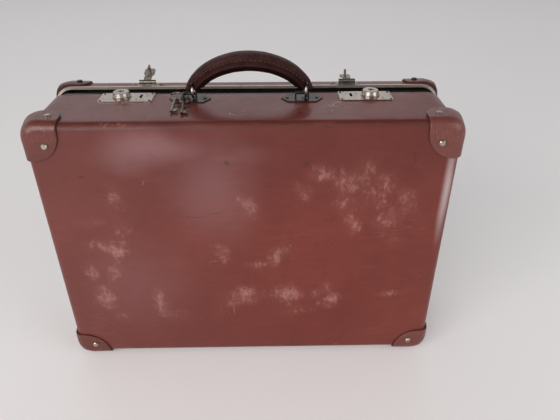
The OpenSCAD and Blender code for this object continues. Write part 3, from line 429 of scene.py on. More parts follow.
def cap_material():
    """Thicker leather of the corner caps, rubbed below the fold and finely cracked."""
    s = Shader("cap_leather")
    broad = s.noise(22.0, 5.0, 0.6)
    fine = s.noise(340.0, 5.0, 0.65)
    base = s.mix(s.ramp(broad, 0.35, 0.7), rgb(96, 36, 28), rgb(118, 52, 42))
    base = s.tint(base, fine, 0.25, rgb(134, 76, 66))
    # Painted shade: the caps on the left are painted darker.
    base = s.mix(s.ramp(s.axis("X"), 0.10, -0.15, 0.0, 0.26), base, rgb(58, 24, 18))
    # Painted light: the caps on the right are painted paler.
    base = s.mix(s.ramp(s.axis("X"), 0.0, 0.17, 0.0, 0.14), base, rgb(150, 104, 96))
    ragged = s.noise(130.0, 8.0, 0.75, s.warped(60.0, 0.006))
    worn = s.ramp(ragged, 0.58, 0.74)
    base = s.tint(base, worn, 0.32, rgb(170, 112, 98))
    lines = s.noise(640.0, 4.0, 0.7, s.stretch((1.0, 0.3, 0.3)))
    band = s.times(s.ramp(s.axis("Z"), 0.268, 0.276), s.ramp(s.axis("Z"), 0.292, 0.286))
    band = s.times(band, s.ramp(s.facing("Y"), -0.3, -0.6))
    band = s.times(band, s.ramp(lines, 0.48, 0.66))
    base = s.tint(base, band, 0.20, rgb(184, 122, 108))
    cracks = s.cells(95.0, "DISTANCE_TO_EDGE", s.stretch((3.0, 1.0, 0.8), s.warped(120.0, 0.006)))
    crack = s.times(s.ramp(cracks, 0.05, 0.0), s.ramp(s.noise(45.0, 3.0), 0.46, 0.60))
    base = s.tint(base, crack, 0.45, rgb(70, 30, 26))
    pores = s.cells(1300.0)
    normal = s.bump(pores, 0.14, 0.0004)
    normal = s.bump(broad, 0.2, 0.002, normal)
    normal = s.bump(crack, -0.25, 0.0005, normal)
    rough = s.ramp(ragged, 0.3, 0.75, 0.28, 0.48)
    return s.surface(Base_Color=base, Roughness=rough, Normal=normal, Coat_Weight=0.18, Coat_Roughness=0.24)


def cut_edge_material():
    s = Shader("cut_leather_edge")
    fibre = s.noise(900.0, 4.0, 0.7)
    base = s.mix(fibre, rgb(34, 16, 14), rgb(72, 36, 30))
    normal = s.bump(fibre, 0.4, 0.0004)
    return s.surface(Base_Color=base, Roughness=0.7, Normal=normal)


def handle_material(name, low, high):
    s = Shader(name)
    broad = s.noise(30.0, 5.0, 0.6)
    fine = s.noise(520.0, 5.0, 0.65)
    base = s.mix(s.ramp(broad, 0.3, 0.7), low, high)
    # Painted light: upward-facing parts of the handle are painted paler than its flanks.
    up = s.ramp(s.facing("Z"), -0.2, 0.9)
    base = s.tint(base, up, 0.45, rgb(82, 53, 49))
    base = s.mix(s.ramp(s.noise(75.0, 6.0, 0.7), 0.48, 0.62, 0.0, 0.4), base, rgb(22, 12, 11))
    worn = s.ramp(s.noise(160.0, 7.0, 0.7, distortion=0.6), 0.58, 0.78)
    base = s.tint(base, worn, 0.36, rgb(104, 70, 62))
    pores = s.cells(1400.0)
    normal = s.bump(pores, 0.3, 0.0004)
    creases = s.cells(210.0, "DISTANCE_TO_EDGE", s.stretch((1.0, 1.0, 2.2), s.warped(90.0, 0.004)))
    normal = s.bump(s.ramp(creases, 0.0, 0.12), 0.3, 0.0008, normal)
    rough = s.ramp(fine, 0.3, 0.75, 0.38, 0.56)
    return s.surface(Base_Color=base, Roughness=rough, Normal=normal, IOR=1.3, Specular_IOR_Level=0.3)


def thread_material():
    s = Shader("stitch_thread")
    twist = s.waves(900.0, "DIAGONAL", 1.0)
    base = s.mix(twist, rgb(80, 29, 23), rgb(112, 49, 39))
    normal = s.bump(twist, 0.6, 0.0003)
    return s.surface(Base_Color=base, Roughness=0.8, Normal=normal)


def metal_material(name, bright, dull, rough_low, rough_high, brush):
    """Old plated metal: brushed one way, with duller tarnished spots and fine scratches."""
    s = Shader(name)
    brushed = s.noise(260.0, 4.0, 0.6, s.stretch(brush))
    spots = s.noise(240.0, 6.0, 0.7, distortion=0.5)
    pits = s.noise(1400.0, 3.0, 0.6)
    tarnish = s.ramp(spots, 0.48, 0.72)
    base = s.mix(tarnish, bright, dull)
    base = s.tint(base, brushed, 0.25, dull)
    rough = s.math("ADD", s.ramp(brushed, 0.3, 0.7, rough_low, rough_high), s.times(tarnish, 0.2))
    normal = s.bump(brushed, 0.08, 0.0003)
    normal = s.bump(pits, 0.10, 0.0002, normal)
    return s.surface(Base_Color=base, Metallic=1.0, Roughness=rough, Normal=normal)


def tongue_material():
    """Tongue strip painted near black as painted shade for the shadowed gap, with painted light as paler grey
    at its left end.
    """
    s = Shader("tongue_strip")
    grime = s.noise(120.0, 5.0, 0.6)
    dark = s.mix(grime, rgb(12, 10, 10), rgb(30, 27, 25))
    grey = s.mix(grime, rgb(96, 90, 85), rgb(58, 54, 51))
    # Painted shade over most of the strip, painted light towards its left end.
    base = s.mix(s.ramp(s.axis("X"), -0.135, -0.165), dark, grey)
    normal = s.bump(grime, 0.2, 0.0004)
    return s.surface(Base_Color=base, Roughness=s.ramp(grime, 0.3, 0.7, 0.6, 0.8), Normal=normal, IOR=1.12)


def cloth_material():
    """Woven lining, painted near black along its upper edge as painted shade."""
    s = Shader("lining_cloth_weave")
    warp = s.waves(700.0, "X", 0.6)
    weft = s.waves(700.0, "Z", 0.6)
    weave = s.times(warp, weft)
    stain = s.noise(9.0, 5.0, 0.6)
    base = s.mix(s.ramp(stain, 0.35, 0.7), rgb(168, 152, 126), rgb(134, 116, 92))
    base = s.tint(base, weave, 0.4, rgb(190, 176, 150))
    # Painted shade: the lining's upper edge, seen in the gap, is painted near black.
    gap_shade = s.ramp(s.axis("Z"), 0.245, 0.262)
    base = s.tint(base, gap_shade, 0.96, rgb(24, 20, 17))
    normal = s.bump(weave, 0.5, 0.0005)
    return s.surface(Base_Color=base, Roughness=0.9, Normal=normal, Sheen_Weight=0.2)


def floor_material():
    s = Shader("pale_floor")
    soft = s.noise(3.0, 4.0, 0.5)
    fine = s.noise(160.0, 3.0, 0.5)
    base = s.mix(soft, rgb(240, 237, 236), rgb(246, 243, 242))
    normal = s.bump(fine, 0.02, 0.0005)
    path = s.tree.nodes.new("ShaderNodeLightPath")
    lift = s.times(path.outputs["Is Camera Ray"], 0.13)
    return s.surface(
        Base_Color=base, Roughness=s.ramp(fine, 0.3, 0.7, 0.42, 0.5), Normal=normal,
        Emission_Color=(1.0, 0.98, 0.97, 1.0), Emission_Strength=lift
    )


LEATHER = leather_body_material()
CAP = cap_material()
CUT_EDGE = cut_edge_material()
HANDLE = handle_material("handle_leather_dark", rgb(38, 17, 15), rgb(58, 29, 26))
# Painted shade: a darker copy of the handle leather for its underside.
HANDLE_SHADE = handle_material("handle_leather_painted_shade", rgb(20, 11, 10), rgb(34, 18, 16))
THREAD = thread_material()
CLOTH = cloth_material()
NICKEL = metal_material("old_nickel", rgb(190, 179, 169), rgb(122, 112, 104), 0.16, 0.32, (1.0, 8.0, 8.0))
WORN_STEEL = metal_material("worn_steel", rgb(152, 142, 132), rgb(30, 26, 24), 0.2, 0.4, (3.0, 3.0, 3.0))
DARK = metal_material("dark_nickel", rgb(84, 78, 73), rgb(36, 33, 30), 0.22, 0.42, (8.0, 1.0, 8.0))
RIM_METAL = metal_material("rim_metal", rgb(214, 200, 188), rgb(158, 144, 132), 0.3, 0.46, (0.6, 12.0, 12.0))
TONGUE = tongue_material()
BRASS = metal_material("old_brass_metal", rgb(124, 106, 84), rgb(38, 32, 27), 0.2, 0.4, (4.0, 4.0, 4.0))


# Mesh helpers


def mesh_object(name, verts, faces, matrix, mats, face_mats=None, smooth=True, merge=0.0):
    """Mesh object from millimetre points, moved into the row frame by matrix."""
    mesh = bpy.data.meshes.new(name)
    mesh.from_pydata([matrix @ Vector(v) for v in verts], [], faces)
    for m in mats:
        mesh.materials.append(m)
    if face_mats:
        for poly, index in zip(mesh.polygons, face_mats):
            poly.material_index = index
    bm = bmesh.new()
    bm.from_mesh(mesh)
    if merge:
        bmesh.ops.remove_doubles(bm, verts=bm.verts, dist=merge * MM)
    bmesh.ops.recalc_face_normals(bm, faces=bm.faces)
    bm.to_mesh(mesh)
    bm.free()
    mesh.polygons.foreach_set("use_smooth", [smooth] * len(mesh.polygons))
    obj = bpy.data.objects.new(name, mesh)
    bpy.context.scene.collection.objects.link(obj)
    return obj


def add_modifier(obj, kind, **values):
    m = obj.modifiers.new(kind.lower(), kind)
    for key, value in values.items():
        setattr(m, key, value)
    return m


def apply_modifiers(obj):
    """Replaces the object's mesh by its evaluated one."""
    deps = bpy.context.evaluated_depsgraph_get()
    mesh = bpy.data.meshes.new_from_object(obj.evaluated_get(deps))
    obj.modifiers.clear()
    obj.data = mesh


def cut_away(obj, cutter):
    """Takes the cutter's shape out of an object and deletes the cutter."""
    add_modifier(obj, "BOOLEAN", operation="DIFFERENCE", object=cutter, solver="EXACT")
    apply_modifiers(obj)
    bpy.data.objects.remove(cutter)


def cut_box(obj, low, high, matrix):
    """Cuts a box, given in millimetres, out of an object."""
    verts = [(x, y, z) for x in (low[0], high[0]) for y in (low[1], high[1]) for z in (low[2], high[2])]
    faces = [(0, 1, 3, 2), (4, 6, 7, 5), (0, 4, 5, 1), (2, 3, 7, 6), (0, 2, 6, 4), (1, 5, 7, 3)]
    cut_away(obj, mesh_object(obj.name + "_cutter", verts, faces, matrix, [], smooth=False))


# Shells

SIDE_X = 44
SIDE_Z = 32
ARC = 10
EDGE_STEPS = 8
FACE_STEPS = (2.0, 4.5)
WALL_STEP = 8.0
SWELL_REACH = 20.0
BASE_SWELL = 1.6
LID_SWELL = 1.4
DENT_DEPTH = 0.5
DENT_SCALE = 0.018


def outline_ring(inset, y):
    """Closed ring of points on the case outline, drawn in by inset, at one depth."""
    cx = CASE_W / 2 - CORNER_R
    low, high = CORNER_R, CASE_H - CORNER_R
    r = CORNER_R - inset
    points = []
    sides = (
        ((-cx, low), (cx, low), -90, SIDE_X),
        ((cx, low), (cx, high), 0, SIDE_Z),
        ((cx, high), (-cx, high), 90, SIDE_X),
        ((-cx, high), (-cx, low), 180, SIDE_Z),
    )
    for (ax, az), (bx, bz), angle, count in sides:
        dx, dz = math.cos(math.radians(angle)) * r, math.sin(math.radians(angle)) * r
        for i in range(count):
            t = i / count
            points.append((ax + (bx - ax) * t + dx, y, az + (bz - az) * t + dz))
        for i in range(ARC):
            a = math.radians(angle + 90 * i / ARC)
            points.append((bx + math.cos(a) * r, y, bz + math.sin(a) * r))
    return points


def face_grid(y):
    """Grid of points over the flat middle of a face, row by row."""
    cx = CASE_W / 2 - CORNER_R
    return [
        (-cx + 2 * cx * i / SIDE_X, y, CORNER_R + (CASE_H - 2 * CORNER_R) * j / SIDE_Z)
        for j in range(SIDE_Z + 1)
        for i in range(SIDE_X + 1)
    ]


def grid_border():
    """Grid index that each ring point meets, corner arcs meeting one grid corner."""
    row = SIDE_X + 1
    border = []
    border += list(range(SIDE_X)) + [SIDE_X] * ARC
    border += [SIDE_X + row * j for j in range(SIDE_Z)] + [SIDE_X + row * SIDE_Z] * ARC
    border += [SIDE_X - i + row * SIDE_Z for i in range(SIDE_X)] + [row * SIDE_Z] * ARC
    border += [row * (SIDE_Z - j) for j in range(SIDE_Z)] + [0] * ARC
    return border


def face_swell(x, z, amount):
    """How far the big face stands out: even in the middle, falling off at its edges, faintly dented."""
    u = 1 - math.exp(-max(0.0, CASE_W / 2 - abs(x)) / SWELL_REACH)
    w = 1 - math.exp(-max(0.0, min(z, CASE_H - z)) / SWELL_REACH)
    dent = noise.noise(Vector((x * DENT_SCALE, 3.1, z * DENT_SCALE))) * DENT_DEPTH
    return (amount + dent) * u * w


def shell_profile(inset, depth, rim_round):
    """(inset, depth) points from the face's edge over the rounded edge to the rim."""
    r = EDGE_R - inset
    profile = [(CORNER_R - step, inset) for step in FACE_STEPS]
    for i in range(EDGE_STEPS + 1):
        a = math.radians(90 * i / EDGE_STEPS)
        profile.append((inset + r - r * math.sin(a), inset + r - r * math.cos(a)))
    rows = max(3, int((depth - EDGE_R) / WALL_STEP))
    for i in range(1, rows + 1):
        profile.append((inset, EDGE_R + (depth - rim_round - EDGE_R) * i / rows))
    return profile


def shell(name, outer, inner, depth, matrix, mats, swell, rim_round=0.6):
    """Open rounded box between two insets, with a softly rounded rim and a swollen face."""
    rings = [outline_ring(t, y) for t, y in shell_profile(outer, depth, rim_round)]
    mid = (outer + inner) / 2
    half = (inner - outer) / 2
    for k in range(1, 4):
        a = math.radians(45 * k)
        rings.append(outline_ring(mid - half * math.cos(a), depth - rim_round + rim_round * math.sin(a)))
    rings += [outline_ring(t, y) for t, y in reversed(shell_profile(inner, depth, rim_round))]
    count = len(rings[0])
    verts = face_grid(outer) + [p for ring in rings for p in ring] + face_grid(inner)
    grid = (SIDE_X + 1) * (SIDE_Z + 1)
    row = SIDE_X + 1
    faces = []
    back = grid + count * len(rings)
    for base, flip in ((0, False), (back, True)):
        for j in range(SIDE_Z):
            for i in range(SIDE_X):
                quad = [base + i + row * j, base + i + 1 + row * j]
                quad += [base + i + 1 + row * (j + 1), base + i + row * (j + 1)]
                faces.append(quad[::-1] if flip else quad)
    border = grid_border()
    for k in range(count):
        n = (k + 1) % count
        quad = [border[k], grid + k, grid + n]
        if border[k] != border[n]:
            quad.append(border[n])
        faces.append(quad)
        last = grid + count * (len(rings) - 1)
        quad = [last + k, back + border[k]]
        if border[k] != border[n]:
            quad.append(back + border[n])
        quad.append(last + n)
        faces.append(quad)
        for ring in range(len(rings) - 1):
            a = grid + count * ring
            faces.append([a + k, a + count + k, a + count + n, a + n])
    swollen = []
    for x, y, z in verts:
        reach = max(0.0, 1 - y / EDGE_R)
        swollen.append((x, y - face_swell(x, z, swell) * reach, z))
    return mesh_object(name, swollen, faces, matrix, mats)


# Corner caps


def corner_point(a, b, c, lift):
    """Point on the rounded corner, from its distances inside the side, face and bottom of the sharp box."""
    inset = min(a, c)
    da, dc = CORNER_R - a, CORNER_R - c
    if da > 0 and dc > 0:
        length = math.hypot(da, dc)
        ua, uc = da / length, dc / length
        curved = True
    else:
        ua, uc = (1.0, 0.0) if a < c else (0.0, 1.0)
        curved = False
    ds, db = EDGE_R - inset, EDGE_R - b
    if ds > 0 and db > 0:
        length = math.hypot(ds, db)
        us, ub = ds / length, db / length
        s, depth = EDGE_R - EDGE_R * us, EDGE_R - EDGE_R * ub
    else:
        us, ub = (0.0, 1.0) if b < inset else (1.0, 0.0)
        s, depth = inset, b
    if curved:
        pa = CORNER_R - (CORNER_R - s) * ua
        pc = CORNER_R - (CORNER_R - s) * uc
    elif a < c:
        pa, pc = s, c
    else:
        pa, pc = a, s
    return (CASE_W / 2 - pa + us * ua * lift, depth - ub * lift, pc - us * uc * lift)


PUFF_AREA = 150.0
PUFF_RISE = 0.7
PUFF_END = 6.0
PUFF_FRONT_SHARE = 0.25
PUFF_END_SHARE = 0.7


def cap_puff(a, b, c, reach_y):
    """How far the cap stands off the outline corner, most of it towards its rear edge."""
    near = max(a, c)
    along = min(1.0, b / (PUFF_RISE * reach_y))
    along = along * along * (3 - 2 * along)
    taper = min(1.0, max(0.0, (reach_y - b) / PUFF_END))
    front_share = PUFF_FRONT_SHARE + (1 - PUFF_FRONT_SHARE) * along
    end_share = PUFF_END_SHARE + (1 - PUFF_END_SHARE) * taper
    return CAP_PUFF * math.exp(-(near * near) / PUFF_AREA) * front_share * end_share


def round_far_corner(p, q, reach_p, reach_q, r):
    """Moves a point of the square reach_p by reach_q so that its far corner is rounded."""
    dp, dq = p - (reach_p - r), q - (reach_q - r)
    if dp <= 0 or dq <= 0:
        return p, q
    m = max(dp, dq)
    length = math.hypot(dp, dq)
    return reach_p - r + m * dp / length, reach_q - r + m * dq / length


CAP_STEPS = 24
CAP_SEAT = 0.05
CAP_EDGE = 0.9
CAP_EDGE_DROP = 0.75
CAP_FLAT_END = 1.2
CAP_EDGE_STEPS = (0.7, 0.3, 0.08, 0.0)


def cap_samples(reach):
    """Even steps over the cap, then finer ones over its rounded edge."""
    flat = reach - CAP_FLAT_END
    return [flat * i / CAP_STEPS for i in range(CAP_STEPS + 1)] + [reach - d for d in CAP_EDGE_STEPS]


def cap_height(p, q, reach_p, reach_q):
    """Thickness of the cap, rounded off just before its cut edge."""
    near = min(reach_p - p, reach_q - q)
    if near >= CAP_EDGE:
        return CAP_T
    return CAP_T - CAP_EDGE_DROP * (1 - math.sqrt(max(0.0, 1 - ((CAP_EDGE - near) / CAP_EDGE) ** 2)))


def cap_mesh(name, reach_y, side, top, matrix):
    """One leather corner cap as three joined grids with a cut edge wall."""
    r_small = min(CAP_ROUND, reach_y / 2)
    reach_x = CAP_X if top else FOOT_CAP_X
    reach_z = CAP_Z if top else FOOT_CAP_Z
    axes = {
        "face": (reach_x, reach_z, CAP_ROUND, lambda p, q: (p, 0.0, q)),
        "side": (reach_y, reach_z, r_small, lambda p, q: (0.0, p, q)),
        "foot": (reach_x, reach_y, r_small, lambda p, q: (p, q, 0.0)),
    }
    verts, faces, kinds = [], [], []
    for reach_p, reach_q, r, place in axes.values():
        ps, qs = cap_samples(reach_p), cap_samples(reach_q)
        n_q = len(qs)
        start = len(verts)
        for p in ps:
            for q in qs:
                rp, rq = round_far_corner(p, q, reach_p, reach_q, r)
                a, b, c = place(rp, rq)
                lift = cap_height(p, q, reach_p, reach_q) + cap_puff(a, b, c, reach_y)
                verts.append(corner_point(a, b, c, lift))
        for i in range(len(ps) - 1):
            for j in range(n_q - 1):
                k = start + i * n_q + j
                faces.append((k, k + 1, k + n_q + 1, k + n_q))
                kinds.append(0)
        rim = [(len(ps) - 1, j) for j in range(n_q)] + [(i, n_q - 1) for i in range(len(ps) - 2, -1, -1)]
        low = len(verts)
        for i, j in rim:
            rp, rq = round_far_corner(ps[i], qs[j], reach_p, reach_q, r)
            verts.append(corner_point(*place(rp, rq), CAP_SEAT))
        for k in range(len(rim) - 1):
            (i0, j0), (i1, j1) = rim[k], rim[k + 1]
            faces.append((start + i0 * n_q + j0, start + i1 * n_q + j1, low + k + 1, low + k))
            kinds.append(1)
    placed = [(side * x, y, CASE_H - z if top else z) for x, y, z in verts]
    return mesh_object(name, placed, faces, matrix, [CAP, CUT_EDGE], kinds, merge=0.004)


# Base and lid leather

base_shell = shell("shell_base_leather", 0.0, WALL, BASE_D, TO_TABLE, [LEATHER], BASE_SWELL)
lid_shell = shell("shell_lid_leather", 0.0, WALL, LID_D - LID_WEB, LID_TURN, [LEATHER], LID_SWELL)
lining_out = WALL + LINING_IN
lining_in = lining_out + LINING_T
base_lining = shell(
    "lining_base_cloth", lining_out, lining_in, BASE_LINING_D, TO_TABLE, [CLOTH], 0.0, rim_round=LINING_EDGE
)
lid_lining = shell(
    "lining_lid_cloth", lining_out, lining_in, LID_LINING_D, LID_TURN, [CLOTH], 0.0, rim_round=LINING_EDGE
)
for side in (-1, 1):
    xs = sorted((side * (LOCK_X0 - LOCK_CLEAR), side * (LOCK_X1 + LOCK_CLEAR)))
    low = (xs[0], LOCK_Y - LOCK_HALF - LOCK_CLEAR, CASE_H - LOCK_DEPTH)
    high = (xs[1], LOCK_Y + LOCK_HALF + LOCK_CLEAR, CASE_H + WALL)
    cut_box(base_shell, low, high, TO_TABLE)
    cut_box(base_lining, low, high, TO_TABLE)
for obj, body, node, slot in (
    (base_shell, "base", "base_shell", "leather_body"),
    (base_lining, "base", "base_lining", "lining_cloth"),
    (lid_shell, "lid", "lid_shell", "leather_body"),
    (lid_lining, "lid", "lid_lining", "lining_cloth"),
):
    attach(obj, body)
    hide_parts(node)

for part, matrix, reach_y in (("base", TO_TABLE, BASE_CAP_Y), ("lid", LID_TURN, LID_CAP_Y)):
    for level in ("top", "bottom"):
        for side_name, side in (("left", -1), ("right", 1)):
            node = "%s_cap_%s_%s" % (part, level, side_name)
            cap = cap_mesh("leather_" + node, reach_y, side, level == "top", matrix)
            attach(cap, part)
            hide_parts(node)


# Handle

ARCH_STEPS = 110
SECTION_STEPS = 72
END_HH, MID_HH = 7.5, 9.0
END_HW, MID_HW = 5.0, 10.0
ARCH_START = math.radians(20)
ARCH_WIDE = HANDLE_HALF / math.cos(ARCH_START)
ARCH_RISE = ARCH_H / (1 - math.sin(ARCH_START))
BLUNT_END = 16.0
EYE_HALF_X = 2.5
EYE_HALF_Z = 3.0
EYE_RISE = 4.6
EYE_REACH = 16.0
# Ends of the sleeve: arch angle and share of the full section, then the angle where the full section begins
HANDLE_END = ((0.0, 0.80), (0.0, 0.93), (0.35, 0.985))
FULL_FROM = 0.8
# Section: how square it is, how much its underside narrows and how uneven its surface is
SQUARENESS = 0.72
UNDER_TAPER = 0.14
WOBBLE = 0.22
# Seam on the flanks: groove, lip and undercut lie this far below the middle and change the half width so much
FLANK_FROM = 0.4
SEAM_SOFT = 0.8
GROOVE_AT = 0.6
GROOVE_IN = 0.05
LIP_AT = 2.6
LIP_OUT = 0.08
UNDER_AT = LIP_AT + 1.1
UNDER_SOFT = 0.25
UNDER_IN = 0.10
# Faces below this get the painted-shade copy of the handle leather.
DARK_BELOW = LIP_AT + 1.0
SEAM_U = 14.0
STITCHES = 28
STITCH_FIRST = 16
STITCH_AHEAD = 0.6
STITCH_LENGTH = 2.3
STITCH_RADIUS = 0.42
STITCH_SLANT = 0.12
STITCH_LIFT = 0.16
STITCH_DIP = 0.55


def arch_frame(t):
    """Middle point and outward normal of the handle's arch, part of an ellipse, for t from 0 to 180."""
    a = ARCH_START + (math.pi - 2 * ARCH_START) * t / 180
    centre = Vector((ARCH_WIDE * math.cos(a), 0, ARCH_RISE * (math.sin(a) - math.sin(ARCH_START))))
    normal = Vector((math.cos(a) / ARCH_WIDE, 0, math.sin(a) / ARCH_RISE)).normalized()
    blunt = max(0.0, 1 - min(t, 180 - t) / BLUNT_END)
    blunt = blunt * blunt * (3 - 2 * blunt)
    normal = normal.lerp(Vector((1 if t < 90 else -1, 0, 0)), blunt).normalized()
    return centre, normal


def section_offset(u, t):
    """(depth, outward) of the handle's section at angle u in degrees for arch angle t."""
    a = math.radians(u)
    bulge = math.sin(math.radians(t))
    hw = END_HW + (MID_HW - END_HW) * bulge
    hh = END_HH + (MID_HH - END_HH) * bulge
    c, s = math.cos(a), math.sin(a)
    across = math.copysign(abs(c) ** SQUARENESS, c) * hw
    out = math.copysign(abs(s) ** SQUARENESS, s) * hh
    if s < 0:
        across *= 1 - UNDER_TAPER * abs(s)
    flank = 1.0 if abs(c) > FLANK_FROM else 0.0
    groove = math.exp(-(((out + GROOVE_AT) / SEAM_SOFT) ** 2))
    lip = math.exp(-(((out + LIP_AT) / SEAM_SOFT) ** 2))
    under = 1 / (1 + math.exp(min(40.0, (out + UNDER_AT) / UNDER_SOFT)))
    across *= 1 + flank * (LIP_OUT * lip - GROOVE_IN * groove - UNDER_IN * under)
    return across, out


def handle_point(u, t, shrink=1.0):
    centre, normal = arch_frame(t)
    across, out = section_offset(u, t)
    wobble = noise.noise(Vector((t * 0.09, u * 0.03, 1.7))) * WOBBLE
    p = centre + normal * ((out + wobble) * shrink)
    return (p.x + HANDLE_SHIFT, p.y + across * shrink + HANDLE_Y, p.z + ARCH_Z)


def handle_mesh():
    """Leather sleeve of the handle, swept along its arch, with rounded ends and painted shade on its
    underside.
    """
    verts, faces, kinds = [], [], []
    turns = list(HANDLE_END)
    turns += [(FULL_FROM + (180 - 2 * FULL_FROM) * i / ARCH_STEPS, 1.0) for i in range(ARCH_STEPS + 1)]
    turns += [(180 - t, shrink) for t, shrink in reversed(HANDLE_END)]
    for t, shrink in turns:
        for j in range(SECTION_STEPS):
            verts.append(handle_point(360 * j / SECTION_STEPS, t, shrink))
    for i in range(len(turns) - 1):
        for j in range(SECTION_STEPS):
            n = (j + 1) % SECTION_STEPS
            a, b = i * SECTION_STEPS, (i + 1) * SECTION_STEPS
            faces.append((a + j, a + n, b + n, b + j))
            _, out = section_offset(360 * (j + 0.5) / SECTION_STEPS, turns[i][0])
            kinds.append(1 if out < -DARK_BELOW else 0)
    faces.append(tuple(range(SECTION_STEPS)))
    last = (len(turns) - 1) * SECTION_STEPS
    faces.append(tuple(last + j for j in range(SECTION_STEPS)))
    kinds += [1, 1]
    return mesh_object("handle_leather_wrap", verts, faces, TO_TABLE, [HANDLE, HANDLE_SHADE], kinds)


def ring_eye(obj, x):
    """Cuts the eye that the handle ring passes through, a rounded slot along Y."""
    verts, faces = [], []
    steps = 32
    for y in (HANDLE_Y - EYE_REACH, HANDLE_Y + EYE_REACH):
        for i in range(steps):
            a = 2 * math.pi * i / steps
            verts.append((x + EYE_HALF_X * math.cos(a), y, ARCH_Z + EYE_RISE + EYE_HALF_Z * math.sin(a)))
    for i in range(steps):
        n = (i + 1) % steps
        faces.append((i, n, steps + n, steps + i))
    faces.append(tuple(range(steps)))
    faces.append(tuple(steps + i for i in range(steps)))
    cut_away(obj, mesh_object("eye_cutter", verts, faces, TO_TABLE, [CUT_EDGE]))


handle = handle_mesh()
for sx in (-1, 1):
    ring_eye(handle, HANDLE_SHIFT + sx * HANDLE_HALF)
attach(handle, "handle")
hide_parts("handle_leather", "handle_core")


def capsule(verts, faces, middle, along, up, length, radius, slant):
    """Adds one stitch to the lists: a short rounded thread lying on the leather."""
    side = along.cross(up).normalized()
    along = (along + side * slant).normalized()
    side = along.cross(up).normalized()
    rings = ((-0.5, 0.25), (-0.42, 0.75), (-0.25, 1.0), (0.25, 1.0), (0.42, 0.75), (0.5, 0.25))
    start = len(verts)
    steps = 10
    for pos, grow in rings:
        lift = -STITCH_DIP * radius * (abs(pos) / 0.5) ** 3
        for i in range(steps):
            a = 2 * math.pi * i / steps
            p = middle + along * (pos * length) + up * lift
            p += (side * math.cos(a) + up * math.sin(a)) * radius * grow
            verts.append(tuple(p))
    for k in range(len(rings) - 1):
        for i in range(steps):
            n = (i + 1) % steps
            a, b = start + k * steps, start + (k + 1) * steps
            faces.append((a + i, a + n, b + n, b + i))
    faces.append(tuple(start + i for i in range(steps)))
    last = start + (len(rings) - 1) * steps
    faces.append(tuple(last + i for i in range(steps)))


def stitch_mesh():
    """Both rows of stitches, one on each flank of the handle."""
    verts, faces = [], []
    for side in (0, 180):
        for i in range(STITCHES):
            t = STITCH_FIRST + (180 - 2 * STITCH_FIRST) * i / (STITCHES - 1)
            u = side + (SEAM_U if side == 0 else -SEAM_U)
            p = Vector(handle_point(u, t))
            ahead = Vector(handle_point(u, t + STITCH_AHEAD))
            along = (p - ahead).normalized()
            up = Vector((0, 1 if side == 0 else -1, 0))
            up = (up - along * up.dot(along)).normalized()
            capsule(verts, faces, p + up * STITCH_LIFT, along, up, STITCH_LENGTH, STITCH_RADIUS, STITCH_SLANT)
    return mesh_object("handle_thread", verts, faces, TO_TABLE, [THREAD])


stitching = stitch_mesh()
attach(stitching, "handle")
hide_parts("handle_stitching")


# Metal pieces keep their CAD shape and get finishes and softened edges

METAL_EDGE = 0.25 * MM
METALS = (
    (NICKEL, (
        "left_lock_plate", "right_lock_plate", "left_lock_knob", "right_lock_knob", "left_hinge_pin",
        "right_hinge_pin", "left_lock_spring", "right_lock_spring", "base_cap_rivets",
        "left_ring", "right_ring",
    )),
    (WORN_STEEL, (
        "left_hasp_flap", "right_hasp_flap", "left_hasp_pin", "right_hasp_pin", "left_hasp_foot",
        "right_hasp_foot", "hasp_rivets", "key_loop", "key_one",
    )),
    (DARK, (
        "left_lock_case", "right_lock_case", "left_handle_plate", "right_handle_plate", "lock_nails",
        "handle_plate_rivets", "left_hinge_base_leaf", "right_hinge_base_leaf", "hinge_base_rivets",
        "left_hinge_lid_leaf", "right_hinge_lid_leaf", "hinge_lid_rivets", "lid_cap_rivets",
    )),
    (BRASS, ("left_lock_plug", "right_lock_plug", "key_two")),
    (RIM_METAL, ("lid_rim",)),
    (TONGUE, ("base_rim",)),
)
for material, nodes in METALS:
    for node in nodes:
        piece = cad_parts[node]
        piece.data.materials.clear()
        piece.data.materials.append(material)
        if "spring" not in node:
            bevel = add_modifier(piece, "BEVEL", width=METAL_EDGE, segments=2, limit_method="ANGLE")
            bevel.harden_normals = True


# Stage

FLOOR_HALF = 9000
floor_corners = [(x * FLOOR_HALF, y * FLOOR_HALF, 0) for x, y in ((-1, -1), (1, -1), (1, 1), (-1, 1))]
floor = mesh_object(
    "floor", floor_corners, [(0, 1, 2, 3)], Matrix.Scale(MM, 4), [floor_material()], smooth=False
)


def area_light(name, location, target, size, power, colour=(1, 1, 1)):
    data = bpy.data.lights.new(name, "AREA")
    data.shape = "RECTANGLE"
    data.size, data.size_y = size
    data.energy = power
    data.color = colour
    lamp = bpy.data.objects.new(name, data)
    lamp.location = location
    direction = Vector(target) - Vector(location)
    lamp.rotation_euler = direction.to_track_quat("-Z", "Y").to_euler()
    bpy.context.scene.collection.objects.link(lamp)
    return lamp


# Lamps with place, target, size in metres and power in watts
area_light("key_window", (-1.2, -1.6, 1.2), (0, 0, 0.2), (1.6, 1.2), 26, (1.0, 0.98, 0.96))
area_light("right_fill", (1.5, -1.0, 0.9), (0, 0, 0.15), (1.2, 1.4), 9)
area_light("rear_sky", (-0.4, 1.9, 1.7), (0, 0, 0.25), (2.4, 1.2), 4)


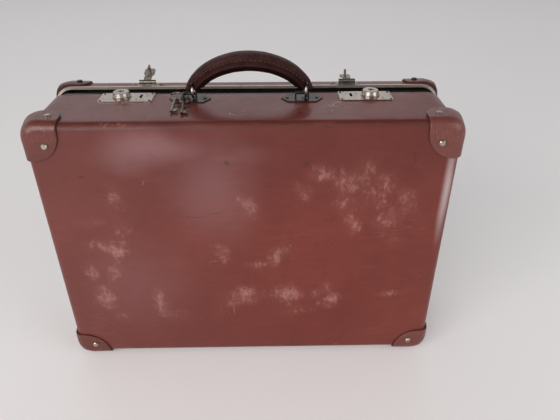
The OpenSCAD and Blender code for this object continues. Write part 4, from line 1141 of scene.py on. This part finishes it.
def studio_world():
    """Soft room: bright behind the case, dimmer overhead, with a paler window side on the left."""
    made = bpy.data.worlds.new("studio_world")
    made.use_nodes = True
    tree = made.node_tree
    coord = tree.nodes.new("ShaderNodeTexCoord")
    split = tree.nodes.new("ShaderNodeSeparateXYZ")
    tree.links.new(coord.outputs["Generated"], split.inputs[0])

    def grade(axis, low, high, a, b):
        n = tree.nodes.new("ShaderNodeMapRange")
        n.interpolation_type = "SMOOTHSTEP"
        tree.links.new(split.outputs[axis], n.inputs["Value"])
        for key, value in (("From Min", low), ("From Max", high), ("To Min", a), ("To Max", b)):
            n.inputs[key].default_value = value
        return n.outputs["Result"]

    def join(op, a, b):
        n = tree.nodes.new("ShaderNodeMath")
        n.operation = op
        tree.links.new(a, n.inputs[0])
        tree.links.new(b, n.inputs[1])
        return n.outputs[0]

    room = grade("Z", 0.35, 0.85, 0.58, 0.18)
    wall = join("MULTIPLY", grade("Y", 0.1, 0.9, 0.0, 0.12), grade("Z", 0.35, 0.7, 1.0, 0.0))
    window = join("MULTIPLY", grade("X", -0.5, -0.9, 0.0, 0.35), grade("Z", 0.3, 0.8, 1.0, 0.0))
    back = tree.nodes["Background"]
    back.inputs["Color"].default_value = (0.88, 0.87, 0.90, 1.0)
    tree.links.new(join("ADD", join("ADD", room, wall), window), back.inputs["Strength"])
    return made


world = studio_world()
bpy.context.scene.world = world
bpy.context.scene.view_settings.view_transform = "Standard"

# Camera fitted to the photograph: focal length in pixels of its width, place in metres and angles in degrees
SENSOR = 36.0
FOCAL_PIXELS = 527.7
PHOTO_PIXELS = 560
CAMERA_X = 0.0243
CAMERA_AHEAD = 0.439
CAMERA_Z = 0.472
LOOK_DOWN = 32.08
ROLL = 0.06
TURN = -1.06

camera_data = bpy.data.cameras.new("photo_camera")
camera_data.sensor_width = SENSOR
camera_data.lens = SENSOR * FOCAL_PIXELS / PHOTO_PIXELS
camera = bpy.data.objects.new("photo_camera", camera_data)
camera.location = (CAMERA_X, -CAMERA_AHEAD - Y_MID * MM, CAMERA_Z)
camera.rotation_euler = (math.radians(90 - LOOK_DOWN), math.radians(ROLL), math.radians(TURN))
bpy.context.scene.collection.objects.link(camera)
bpy.context.scene.camera = camera
